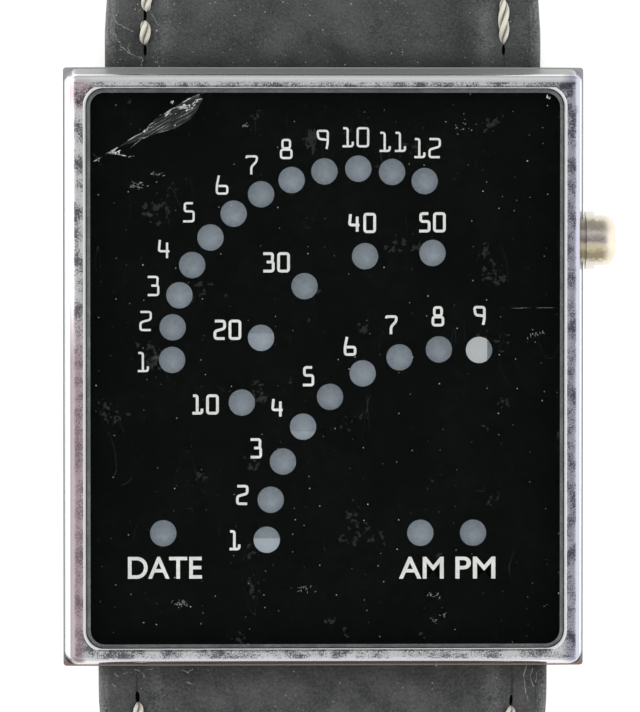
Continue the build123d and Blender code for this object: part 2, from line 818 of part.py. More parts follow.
def spring_bar(side):
    """Tube whose bore narrows at both ends to keep the pivots in."""
    with BuildPart() as tube:
        with BuildSketch(bar_plane(side)):
            Polygon(
                (-tube_half, pivot_diameter / 2 + pivot_gap),
                (-tube_half + bar_crimp, pivot_diameter / 2 + pivot_gap),
                (-tube_half + bar_crimp, bar_bore_diameter / 2),
                (tube_half - bar_crimp, bar_bore_diameter / 2),
                (tube_half - bar_crimp, pivot_diameter / 2 + pivot_gap),
                (tube_half, pivot_diameter / 2 + pivot_gap),
                (tube_half, bar_diameter / 2),
                (-tube_half, bar_diameter / 2),
                align=None,
            )
        revolve(axis=bar_axis(side))
    return tube.part


def bar_tip(side, hand):
    """Pivot at the right-hand (hand 1) or left-hand (hand -1) end, with its wider shank in the tube."""
    with BuildPart() as tip:
        with BuildSketch(bar_plane(side)):
            Polygon(
                (hand * (head_end_x - pivot_shank_length), 0),
                (hand * (head_end_x - pivot_shank_length), bar_bore_diameter / 2 - pivot_shank_gap),
                (hand * head_end_x, bar_bore_diameter / 2 - pivot_shank_gap),
                (hand * head_end_x, pivot_diameter / 2),
                (hand * pivot_end_x, pivot_diameter / 2),
                (hand * pivot_end_x, 0),
                align=None,
            )
        revolve(axis=bar_axis(side))
    return tip.part


for side, clock in ((1, "12"), (-1, "6")):
    save(spring_bar(side), f"spring_bar_{clock}")
    for hand, end in ((-1, "left"), (1, "right")):
        save(bar_tip(side, hand), f"bar_tip_{clock}_{end}")


# Strap: each half is drawn from the side, out from its spring bar, and cut to its outline seen from above
def half_plane(side):
    """Side-view plane of a strap half: its own x runs out from the spring bar and its own y is up."""
    return Plane(origin=(0, side * bar_y, 0), x_dir=(0, side, 0), z_dir=(side, 0, 0))


outline_start = -2 * loop_radius
side_edge_limit = strap_narrow_width * side_edge_share
buckle_outline = [
    (outline_start, strap_width / 2),
    (shoulder_run, strap_width / 2),
    (taper_end, strap_narrow_width / 2),
    (buckle_half_length + 2 * buckle_loop_radius, strap_narrow_width / 2),
]
loop_top_z = bar_z + loop_radius
loop_bottom_z = bar_z - loop_radius
buckle_loop_top_z = buckle_bar_z + buckle_loop_radius
buckle_loop_bottom_z = buckle_bar_z - buckle_loop_radius

# Buckle half: loop round the spring bar, padded run that thins out, flat run, and loop round the buckle bar
with BuildPart() as buckle_half:
    with BuildSketch(half_plane(1)):
        with BuildLine():
            flat_end = buckle_half_length - buckle_blend
            Spline((0, loop_top_z), (padding_end, strap_top_z), tangents=((1, 0), (1, 0)))
            Line((padding_end, strap_top_z), (flat_end, strap_top_z))
            Spline(
                (flat_end, strap_top_z), (buckle_half_length, buckle_loop_top_z), tangents=((1, 0), (1, 0))
            )
            ThreePointArc(
                (buckle_half_length, buckle_loop_top_z),
                (buckle_half_length + buckle_loop_radius, buckle_bar_z),
                (buckle_half_length, buckle_loop_bottom_z),
            )
            Spline(
                (buckle_half_length, buckle_loop_bottom_z), (flat_end, lay_z), tangents=((-1, 0), (-1, 0))
            )
            Line((flat_end, lay_z), (padding_end / 2, lay_z))
            Spline((padding_end / 2, lay_z), (0, loop_bottom_z), tangents=((-1, 0), (-1, 0)))
            ThreePointArc((0, loop_bottom_z), (-loop_radius, bar_z), (0, loop_top_z))
        make_face()
    extrude(amount=strap_width, both=True)
    with BuildSketch(Plane.XY.offset(-overrun)):
        with BuildLine():
            right = [(across, bar_y + run) for run, across in buckle_outline]
            left = [(-across, along) for across, along in reversed(right)]
            Polyline(*right, *left, close=True)
        make_face()
    extrude(amount=4 * overrun, mode=Mode.INTERSECT)
    side_edges = buckle_half.edges().filter_by(lambda edge: abs(edge.center().X) > side_edge_limit)
    chamfer(side_edges.filter_by(Axis.Z, reverse=True), length=strap_edge_bevel)
    with BuildSketch(half_plane(1)):
        with Locations((0, bar_z)):
            Circle(bar_diameter / 2 + leather_bore_gap)
        with Locations((buckle_half_length, buckle_bar_z)):
            Circle(buckle_bar_diameter / 2 + buckle_bar_gap)
    extrude(amount=strap_width, both=True, mode=Mode.SUBTRACT)
    with BuildSketch(Plane.XY.offset(-overrun)):
        with Locations((0, buckle_bar_y - tongue_slot_length / 2 + overrun / 2)):
            Rectangle(tongue_width + 2 * tongue_side_gap, tongue_slot_length + overrun)
    extrude(amount=4 * overrun, mode=Mode.SUBTRACT)

# The lining's share of the buckle half lies below this line
with BuildPart() as buckle_lining_space:
    with BuildSketch(half_plane(1)):
        with BuildLine():
            lining_end = buckle_half_length - lining_start
            Spline(
                (lining_start, loop_bottom_z + lining_thick),
                (padding_end / 2, lay_z + lining_thick),
                tangents=((1, 0), (1, 0)),
            )
            Polyline(
                (padding_end / 2, lay_z + lining_thick),
                (lining_end, lay_z + lining_thick),
                (lining_end, -overrun),
                (lining_start, -overrun),
                (lining_start, loop_bottom_z + lining_thick),
            )
        make_face()
    extrude(amount=strap_width, both=True)

with BuildPart() as strap_buckle_outer:
    add(buckle_half.part)
    add(buckle_lining_space.part, mode=Mode.SUBTRACT)
save(strap_buckle_outer.part, "strap_buckle_outer")

with BuildPart() as strap_buckle_lining:
    add(buckle_half.part)
    add(buckle_lining_space.part, mode=Mode.INTERSECT)
save(strap_buckle_lining.part, "strap_buckle_lining")

# Tail half: it arches off the surface and comes down on its tip
tail_under = [
    (0, loop_bottom_z),
    (tail_rise_run, loop_bottom_z + tail_rise),
    (tail_crest_run, tail_crest),
    (tail_fall_run, tail_fall),
    (tail_length, 0),
]
tail_padding = [2 * loop_radius, strap_thick * padding_share, strap_thick, strap_thick, strap_thick]
tail_over = [(run, height + thick) for (run, height), thick in zip(tail_under, tail_padding)]
tip_slope = (tail_length - tail_fall_run, -2 * tail_fall)
tail_outline = [
    (outline_start, strap_width / 2),
    (shoulder_run, strap_width / 2),
    (taper_end, strap_narrow_width / 2),
    (tail_length - tip_length, strap_narrow_width / 2),
]
with BuildPart() as tail_half:
    with BuildSketch(half_plane(-1)):
        with BuildLine():
            Spline(*tail_over, tangents=((1, 0), tip_slope))
            past_x = tail_length + overrun
            past_drop = overrun * tip_slope[1] / tip_slope[0]
            Polyline(
                tail_over[-1],
                (past_x, tail_over[-1][1] + past_drop),
                (past_x, past_drop),
                tail_under[-1],
            )
            Spline(*reversed(tail_under), tangents=((-tip_slope[0], -tip_slope[1]), (-1, 0)))
            ThreePointArc((0, loop_bottom_z), (-loop_radius, bar_z), (0, loop_top_z))
        make_face()
    extrude(amount=strap_width, both=True)
    with BuildSketch(Plane.XY.offset(-overrun)):
        with BuildLine():
            right = [(across, -(bar_y + run)) for run, across in tail_outline]
            left = [(-across, along) for across, along in reversed(right)]
            tip = (0, -(bar_y + tail_length))
            tip_edge = strap_narrow_width / 2 * tip_width_share
            tip_share_y = -(bar_y + tail_length - tip_length * (1 - tip_width_share) / 2)
            Polyline(*right)
            ThreePointArc(right[-1], (tip_edge, tip_share_y), tip)
            ThreePointArc(tip, (-tip_edge, tip_share_y), left[0])
            Polyline(*left)
            Line(left[-1], right[0])
        make_face()
    extrude(amount=4 * overrun, mode=Mode.INTERSECT)
    side_edges = tail_half.edges().filter_by(lambda edge: abs(edge.center().X) > side_edge_limit)
    chamfer(side_edges.filter_by(Axis.Z, reverse=True), length=strap_edge_bevel)
    with BuildSketch(half_plane(-1)):
        with Locations((0, bar_z)):
            Circle(bar_diameter / 2 + leather_bore_gap)
    extrude(amount=strap_width, both=True, mode=Mode.SUBTRACT)
    with BuildSketch(Plane.XY.offset(-overrun)):
        for index in range(hole_count):
            hole_run = tail_length - hole_end_margin - hole_spacing * index
            with Locations((0, -(bar_y + hole_run))):
                RegularPolygon(radius=hole_diameter / 2, side_count=hole_sides)
    extrude(amount=4 * overrun, mode=Mode.SUBTRACT)

tail_joint = [(run, height + lining_thick) for run, height in tail_under]
with BuildPart() as tail_lining_space:
    with BuildSketch(half_plane(-1)):
        with BuildLine():
            Spline(*tail_joint, tangents=((1, 0), tip_slope))
            Polyline(
                tail_joint[-1],
                (past_x, tail_joint[-1][1] + past_drop),
                (past_x, -overrun),
                (0, -overrun),
                tail_joint[0],
            )
        make_face()
        with Locations((lining_start / 2 - overrun / 2, 0)):
            Rectangle(lining_start + overrun, 6 * overrun, mode=Mode.SUBTRACT)
    extrude(amount=strap_width, both=True)

with BuildPart() as strap_tail_outer:
    add(tail_half.part)
    add(tail_lining_space.part, mode=Mode.SUBTRACT)
save(strap_tail_outer.part, "strap_tail_outer")

with BuildPart() as strap_tail_lining:
    add(tail_half.part)
    add(tail_lining_space.part, mode=Mode.INTERSECT)
save(strap_tail_lining.part, "strap_tail_lining")


# Keepers: rounded leather loops, the fixed one seated under the strap and the free one with room to slide
keeper_inner_width = strap_narrow_width + 2 * keeper_gap
keeper_inner_top_z = strap_top_z + strap_thick + keeper_headroom


def keeper(run, band, under_z):
    """Leather loop of one band thickness, centred a given run from the spring bar."""
    inner_height = keeper_inner_top_z - under_z
    with BuildPart() as loop:
        with BuildSketch(Plane.XZ.offset(-(bar_y + run + keeper_width / 2))):
            with Locations((0, under_z + inner_height / 2)):
                RectangleRounded(keeper_inner_width + 2 * band, inner_height + 2 * band, keeper_corner + band)
                RectangleRounded(keeper_inner_width, inner_height, keeper_corner, mode=Mode.SUBTRACT)
        extrude(amount=keeper_width)
        for end in loop.faces().filter_by(Axis.Y):
            chamfer(end.outer_wire().edges(), length=keeper_bevel)
    return loop.part


save(keeper(buckle_half_length - keeper_fixed_back, keeper_fixed_thick, lay_z), "keeper_fixed")
save(keeper(buckle_half_length - keeper_free_back, keeper_thick, keeper_thick), "keeper_free")

# Buckle frame: a ring seen from above, bent down from the bar to the crossbar
arm_inner = strap_narrow_width / 2 + buckle_side_gap
arm_outer = arm_inner + buckle_arm_width
frame_end = buckle_reach + buckle_crossbar
buckle_drop = buckle_bar_z - buckle_thick / 2
buckle_plane = Plane(origin=(0, buckle_bar_y, buckle_bar_z), x_dir=(0, 1, 0), z_dir=(1, 0, 0))
with BuildPart() as buckle_frame:
    with BuildSketch(buckle_plane):
        with BuildLine():
            top = buckle_thick / 2
            Line((-buckle_ear, top), (buckle_flat_run, top))
            Spline((buckle_flat_run, top), (buckle_reach, top - buckle_drop), tangents=((1, 0), (1, 0)))
            Polyline(
                (buckle_reach, top - buckle_drop),
                (frame_end, top - buckle_drop),
                (frame_end, -top - buckle_drop),
                (buckle_reach, -top - buckle_drop),
            )
            Spline((buckle_reach, -top - buckle_drop), (buckle_flat_run, -top), tangents=((-1, 0), (-1, 0)))
            Polyline((buckle_flat_run, -top), (-buckle_ear, -top), (-buckle_ear, top))
        make_face()
    extrude(amount=arm_outer, both=True)
    with BuildSketch(Plane.XY.offset(-overrun)):
        with Locations((0, buckle_bar_y + (frame_end - buckle_ear) / 2)):
            RectangleRounded(2 * arm_outer, frame_end + buckle_ear, buckle_corner)
    extrude(amount=4 * overrun, mode=Mode.INTERSECT)
    chamfer(buckle_frame.edges().group_by(Axis.Z)[-1], length=buckle_bevel)
    with BuildSketch(Plane.XY.offset(-overrun)):
        with BuildLine():
            Polyline(
                (-arm_inner, buckle_bar_y - 2 * buckle_ear),
                (-arm_inner, buckle_bar_y + buckle_reach),
                (arm_inner, buckle_bar_y + buckle_reach),
                (arm_inner, buckle_bar_y - 2 * buckle_ear),
                close=True,
            )
        make_face()
    extrude(amount=4 * overrun, mode=Mode.SUBTRACT)
    with BuildSketch(buckle_plane):
        Circle(buckle_bar_diameter / 2)
    extrude(amount=arm_inner + buckle_bar_hold, both=True, mode=Mode.SUBTRACT)
save(buckle_frame.part, "buckle_frame")

# Bar held in both arms of the frame
with BuildPart() as buckle_bar:
    with BuildSketch(buckle_plane):
        Circle(buckle_bar_diameter / 2)
    extrude(amount=arm_inner + buckle_bar_hold, both=True)
save(buckle_bar.part, "buckle_bar")

# Tongue: a ring on the bar with a shank that rests on the crossbar
ring_inner = buckle_bar_diameter / 2 + buckle_bar_gap
ring_outer = ring_inner + tongue_wall
crossbar_top = buckle_thick / 2 - buckle_drop
shank_low = crossbar_top + tongue_rest_gap
tongue_end = frame_end + tongue_tip_over
with BuildPart() as buckle_tongue:
    with BuildSketch(buckle_plane):
        Circle(ring_outer)
    extrude(amount=tongue_width / 2, both=True)
    with BuildSketch(buckle_plane):
        with BuildLine():
            Polyline(
                (0, shank_low),
                (tongue_end, shank_low),
                (tongue_end, shank_low + tongue_thick / 2),
                (buckle_reach, shank_low + tongue_thick),
                (0, ring_outer),
                close=True,
            )
        make_face()
    extrude(amount=tongue_shank_width / 2, both=True)
    with BuildSketch(buckle_plane):
        Circle(ring_inner)
    extrude(amount=tongue_width, both=True, mode=Mode.SUBTRACT)
save(buckle_tongue.part, "buckle_tongue")
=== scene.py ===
"""Looks of a rectangular LED wristwatch on an open leather strap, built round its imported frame."""

import json
import logging
import math
import random
from dataclasses import dataclass
from enum import Enum

import bmesh
import bpy
from bmesh.types import BMEdge, BMesh, BMLayerItem, BMVert
from bpy.types import Material, Node, NodeSocket, NodeTree, Object
from mathutils import Matrix, Vector
from mathutils.bvhtree import BVHTree


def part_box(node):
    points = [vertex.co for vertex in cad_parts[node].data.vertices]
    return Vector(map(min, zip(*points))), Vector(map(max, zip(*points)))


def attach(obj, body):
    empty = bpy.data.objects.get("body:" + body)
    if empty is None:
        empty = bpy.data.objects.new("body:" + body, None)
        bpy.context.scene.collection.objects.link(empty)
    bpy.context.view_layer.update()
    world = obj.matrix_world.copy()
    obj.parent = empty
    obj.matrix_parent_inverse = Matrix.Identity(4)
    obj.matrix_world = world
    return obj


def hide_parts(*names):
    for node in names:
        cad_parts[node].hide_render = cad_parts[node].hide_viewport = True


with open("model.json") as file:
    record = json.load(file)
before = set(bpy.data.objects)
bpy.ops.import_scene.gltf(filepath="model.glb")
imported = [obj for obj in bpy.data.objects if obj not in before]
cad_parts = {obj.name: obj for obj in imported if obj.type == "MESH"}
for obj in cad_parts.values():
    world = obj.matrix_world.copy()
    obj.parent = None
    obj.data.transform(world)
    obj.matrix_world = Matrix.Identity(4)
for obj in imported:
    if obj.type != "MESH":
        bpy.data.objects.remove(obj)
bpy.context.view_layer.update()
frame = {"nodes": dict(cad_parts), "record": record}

MM = 0.001
# Well outside the part, where a measuring ray starts
FAR = 50 * MM
LOG = logging.getLogger("watch")

# A place on a plane, in millimetres
Point = tuple[float, float]


# Small helpers


def linear(colour: str) -> tuple[float, float, float, float]:
    """Turn an sRGB hex colour into linear light.

    Args:
        colour: The colour as "#rrggbb".

    Returns:
        Red, green, blue and an alpha of 1.
    """
    shares = [int(colour[place : place + 2], 16) / 255 for place in (1, 3, 5)]
    light = [s / 12.92 if s <= 0.04045 else ((s + 0.055) / 1.055) ** 2.4 for s in shares]
    return (light[0], light[1], light[2], 1.0)


def per_mm(size: float) -> float:
    """Give the texture scale at which one feature of a pattern is that many millimetres wide."""
    return 1 / (size * MM)


def add_node(tree: NodeTree, kind: str, inputs: dict | None = None, **settings) -> Node:
    """Add one shader node.

    Args:
        tree: The node tree that gets it.
        kind: The node's type, without its "ShaderNode" beginning.
        inputs: A value or a socket to link, for each input name or number.
        settings: Values of the node's own properties.

    Returns:
        The node.
    """
    node = tree.nodes.new("ShaderNode" + kind)
    for name, value in settings.items():
        setattr(node, name, value)
    for key, value in (inputs or {}).items():
        if isinstance(value, NodeSocket):
            tree.links.new(value, node.inputs[key])
        else:
            node.inputs[key].default_value = value
    return node


def new_material(name: str, bsdf_values: dict) -> tuple[Material, Node]:
    """Make a material with one Principled shader.

    Args:
        name: The material's name.
        bsdf_values: Plain values of the shader's own sockets.

    Returns:
        The material and its shader node.
    """
    material = bpy.data.materials.new(name)
    material.use_nodes = True
    shader = material.node_tree.nodes["Principled BSDF"]
    for key, value in bsdf_values.items():
        shader.inputs[key].default_value = value
    return material, shader


def connect(shader: Node, sockets: dict[str, NodeSocket]) -> None:
    """Link sockets to a shader's inputs, by the inputs' names."""
    for name, socket in sockets.items():
        shader.id_data.links.new(socket, shader.inputs[name])


def mesh_piece(bm: BMesh, name: str, finish: Material, sharp_deg: float = 35) -> Object:
    """Turn a bmesh into a finished object at the origin.

    Args:
        bm: The bmesh, which is freed.
        name: The piece's name.
        finish: Its material.
        sharp_deg: Edges that turn more than this stay sharp.

    Returns:
        The object.
    """
    bmesh.ops.recalc_face_normals(bm, faces=bm.faces)
    mesh = bpy.data.meshes.new(name)
    bm.to_mesh(mesh)
    bm.free()
    mesh.materials.append(finish)
    mesh.shade_smooth()
    mesh.set_sharp_from_angle(angle=math.radians(sharp_deg))
    piece = bpy.data.objects.new(name, mesh)
    bpy.context.scene.collection.objects.link(piece)
    return piece


def seat(piece: Object, body: str, slot: str, *replaced: str) -> Object:
    """Let a piece ride on its body, hide the CAD nodes that it stands for and report it.

    Args:
        piece: The finished piece.
        body: The CAD body that it moves with.
        slot: The record's material slot. Not used.
        replaced: CAD nodes that it stands for.

    Returns:
        The piece.
    """
    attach(piece, body)
    if replaced:
        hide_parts(*replaced)
    LOG.info("%s rides on %s, %d faces", piece.name, body, len(piece.data.polygons))
    return piece


def cut_away(piece: Object, cutters: list[Object]) -> None:
    """Cut other objects out of a piece and delete them.

    Args:
        piece: The mesh object to cut.
        cutters: Closed mesh objects.
    """
    for cutter in cutters:
        modifier = piece.modifiers.new("cut", "BOOLEAN")
        modifier.operation = "DIFFERENCE"
        modifier.solver = "EXACT"
        modifier.object = cutter
    bpy.context.view_layer.update()
    graph = bpy.context.evaluated_depsgraph_get()
    cut_mesh = bpy.data.meshes.new_from_object(piece.evaluated_get(graph))
    cut_mesh.name = piece.name
    piece.modifiers.clear()
    piece.data = cut_mesh
    for cutter in cutters:
        bpy.data.objects.remove(cutter)


def rounded_outline(width: float, length: float, radius: float, steps: int) -> list[Point]:
    """Points of a rounded rectangle about the origin, anticlockwise from its right-hand side.

    Args:
        width: Its size along x.
        length: Its size along y.
        radius: Its corner radius.
        steps: Segments in each corner.

    Returns:
        The points.
    """
    points = []
    for corner in range(4):
        turn = corner * math.pi / 2
        side_x = 1 if corner in (0, 3) else -1
        side_y = 1 if corner in (0, 1) else -1
        centre = (side_x * (width / 2 - radius), side_y * (length / 2 - radius))
        for step in range(steps + 1):
            angle = turn + step / steps * math.pi / 2
            points.append((centre[0] + radius * math.cos(angle), centre[1] + radius * math.sin(angle)))
    return points


def start_ring(bm: BMesh, places: list[Vector]) -> list[BMVert]:
    """Make a closed ring of vertices and edges.

    Args:
        bm: The bmesh.
        places: Where the vertices go, in order.

    Returns:
        The vertices in order.
    """
    ring = [bm.verts.new(place) for place in places]
    for index, vert in enumerate(ring):
        bm.edges.new((ring[index - 1], vert))
    return ring


def ring_edges(bm: BMesh, ring: list[BMVert]) -> list[BMEdge]:
    """Give the edges between neighbours of a ring."""
    return [bm.edges.get((ring[index - 1], ring[index])) for index in range(len(ring))]


def grow_ring(bm: BMesh, ring: list[BMVert], places: list[Vector]) -> list[BMVert]:
    """Extrude a ring and move its copy to new places.

    Args:
        bm: The bmesh.
        ring: The vertices of the open end, in order.
        places: Where the copy's vertices go, in the same order.

    Returns:
        The new vertices in the same order.
    """
    made = bmesh.ops.extrude_edge_only(bm, edges=ring_edges(bm, ring))
    fresh = {item for item in made["geom"] if isinstance(item, BMVert)}
    grown = []
    for old, place in zip(ring, places):
        new = next(e.other_vert(old) for e in old.link_edges if e.other_vert(old) in fresh)
        new.co = place
        grown.append(new)
    return grown


def close_tube(bm: BMesh, first: list[BMVert], last: list[BMVert]) -> None:
    """Fill both ends of a tube of rings.

    Args:
        bm: The bmesh.
        first: The ring at one end.
        last: The ring at the other end.
    """
    for ring in (first, last):
        bmesh.ops.contextual_create(bm, geom=ring_edges(bm, ring))


def raise_facet(bm: BMesh, facet: list, height: float) -> None:
    """Extrude a flat facet straight up.

    Args:
        bm: The bmesh.
        facet: The facet, in a list.
        height: How far it rises, in millimetres.
    """
    raised = bmesh.ops.extrude_face_region(bm, geom=facet)
    lifted = [item for item in raised["geom"] if isinstance(item, BMVert)]
    bmesh.ops.translate(bm, verts=lifted, vec=Vector((0, 0, height * MM)))


# Tools that cut the leather


def tool_material() -> Material:
    """Give the plain material of the tools, which are deleted after the cut."""
    return bpy.data.materials.get("tool") or bpy.data.materials.new("tool")


def round_tool(place: Matrix, radius: float, depth: float) -> Object:
    """Make a round bar.

    Args:
        place: Its place and direction, in metres.
        radius: Its radius, in millimetres.
        depth: Its length.

    Returns:
        The bar.
    """
    bm = bmesh.new()
    size = {"radius1": radius * MM, "radius2": radius * MM, "depth": depth * MM}
    bmesh.ops.create_cone(bm, cap_ends=True, segments=32, matrix=place, **size)
    return mesh_piece(bm, "round_tool", tool_material())


def slot_tool(width: float, length: float, centre_y: float) -> Object:
    """Make a tall block on the middle line of the strap.

    Args:
        width: Its size along x, in millimetres.
        length: Its size along y.
        centre_y: Its middle along y.

    Returns:
        The block.
    """
    bm = bmesh.new()
    size = Matrix.Diagonal((width * MM, length * MM, 20 * MM, 1))
    bmesh.ops.create_cube(bm, size=1, matrix=Matrix.Translation(Vector((0, centre_y, 2)) * MM) @ size)
    return mesh_piece(bm, "slot_tool", tool_material())


def copy_of(tool: Object) -> Object:
    """Copy a tool with its own mesh."""
    twin = bpy.data.objects.new(tool.name + "_copy", tool.data.copy())
    bpy.context.scene.collection.objects.link(twin)
    return twin


# Finishes


@dataclass(frozen=True)
class Finish:
    """A real material with a slight mottle in its colour, its gloss and its surface."""

    name: str
    colour: str
    shade: str
    metallic: float
    roughness: float
    spread: float
    grain: float
    relief: float
    stretch: tuple[float, float, float] = (1, 1, 1)
    ior: float = 1.5

    def build(self) -> Material:
        """Make the material.

        Returns:
            A material that reads the piece's Object coordinates.
        """
        material, shader = new_material(self.name, {"Metallic": self.metallic, "IOR": self.ior})
        tree = material.node_tree
        place = add_node(tree, "TexCoord").outputs["Object"]
        mapped = add_node(tree, "Mapping", {"Vector": place, "Scale": self.stretch}).outputs[0]
        mottle = add_node(
            tree, "TexNoise", {"Vector": mapped, "Scale": per_mm(self.grain), "Detail": 4}
        ).outputs[0]
        cloud = add_node(
            tree, "TexNoise", {"Vector": mapped, "Scale": per_mm(6 * self.grain), "Detail": 2}
        ).outputs[0]
        both = add_node(tree, "Math", {0: mottle, 1: cloud}, operation="MULTIPLY").outputs[0]
        share = add_node(tree, "MapRange", {0: both, 1: 0.15, 2: 0.4}).outputs[0]
        colour = add_node(
            tree, "Mix", {0: share, 6: linear(self.shade), 7: linear(self.colour)}, data_type="RGBA"
        ).outputs[2]
        low, high = self.roughness - self.spread, self.roughness + self.spread
        rough = add_node(tree, "MapRange", {0: cloud, 1: 0.35, 2: 0.65, 3: low, 4: high}).outputs[0]
        bump = add_node(tree, "Bump", {"Height": mottle, "Distance": self.relief * MM}).outputs[0]
        connect(shader, {"Base Color": colour, "Roughness": rough, "Normal": bump})
        return material


# Stamped, machined and moulded materials of the plain pieces. Grain and relief are in millimetres.
FINISHES = {
    # Stainless sheet, line brushed along the case: long fine scratches that streak its highlights
    "brushed_back": Finish(
        "brushed_stainless_steel", "#b9b8b5", "#8d8c8a", 1.0, 0.34, 0.06, 0.25, 0.01, (1, 0.06, 1)
    ),
    # Turned screw steel, a little greyer than the plate
    "screw_steel": Finish("turned_screw_steel", "#a9a8a6", "#77767a", 1.0, 0.3, 0.06, 0.2, 0.008),
    # Black ink wetted by the glass over it: deep black, with no skin of its own
    "black_mask": Finish("wetted_black_ink", "#0e1210", "#0a0d0c", 0.0, 0.4, 0.04, 0.8, 0.001, ior=1.04),
    "diffuser_film": Finish("satin_diffuser_film", "#7c8484", "#666e70", 0.0, 0.45, 0.08, 0.5, 0.004),
    "seal_rubber": Finish("moulded_nitrile_rubber", "#1c1c1c", "#141414", 0.0, 0.7, 0.08, 0.3, 0.01),
    "baffle_plastic": Finish("moulded_black_abs", "#1e1f20", "#161718", 0.0, 0.6, 0.08, 0.3, 0.01),
    "emitter_resin": Finish("cast_emitter_resin", "#d8d2b8", "#c4bda0", 0.0, 0.2, 0.05, 0.2, 0.004),
    # Solder mask over a woven laminate: the weave shows as a faint relief
    "board_laminate": Finish("solder_masked_laminate", "#1f6b3c", "#17522e", 0.0, 0.35, 0.06, 0.3, 0.012),
    "chip_epoxy": Finish("moulded_epoxy", "#26262a", "#1c1c20", 0.0, 0.55, 0.08, 0.15, 0.008),
    "can_steel": Finish("drawn_tinned_steel", "#bebdb6", "#98978f", 1.0, 0.3, 0.06, 0.3, 0.008, (1, 0.2, 1)),
    "capacitor_ceramic": Finish("fired_ceramic", "#a58a68", "#8c7352", 0.0, 0.5, 0.06, 0.2, 0.006),
    "module_plastic": Finish("moulded_natural_acetal", "#d6d2c4", "#c6c1b0", 0.0, 0.5, 0.07, 0.4, 0.01),
    "cell_steel": Finish("nickelled_cell_steel", "#c4c3bc", "#a2a19a", 1.0, 0.3, 0.08, 0.4, 0.008),
    "contact_bronze": Finish("stamped_phosphor_bronze", "#c49a62", "#a27a46", 1.0, 0.3, 0.06, 0.3, 0.008),
    "clear_film": Finish("polyimide_film", "#c08a3a", "#a87328", 0.0, 0.25, 0.05, 0.8, 0.003),
    "spring_steel": Finish("drawn_spring_steel", "#9a9a9c", "#77777a", 1.0, 0.3, 0.06, 0.15, 0.006),
    "bar_steel": Finish(
        "turned_stainless_bar", "#a8a8a8", "#848486", 1.0, 0.28, 0.06, 0.2, 0.008, (0.2, 1, 1)
    ),
    # Polished buckle steel with a haze of fine scratches
    "buckle_steel": Finish(
        "polished_buckle_steel", "#c6c6c8", "#97979b", 1.0, 0.18, 0.08, 0.4, 0.01, (1, 0.25, 1)
    ),
}


def spot(tree: NodeTree, place: NodeSocket, centre: tuple, reach: float) -> NodeSocket:
    """Mask a soft round spot.

    Args:
        tree: The node tree.
        place: Object coordinates.
        centre: The spot's centre, in millimetres.
        reach: Its radius.

    Returns:
        A mask that is 1 inside.
    """
    middle = tuple(value * MM for value in centre)
    away = add_node(tree, "VectorMath", {0: place, 1: middle}, operation="DISTANCE").outputs["Value"]
    return add_node(tree, "MapRange", {0: away, 1: reach * MM, 2: 0.4 * reach * MM}).outputs[0]


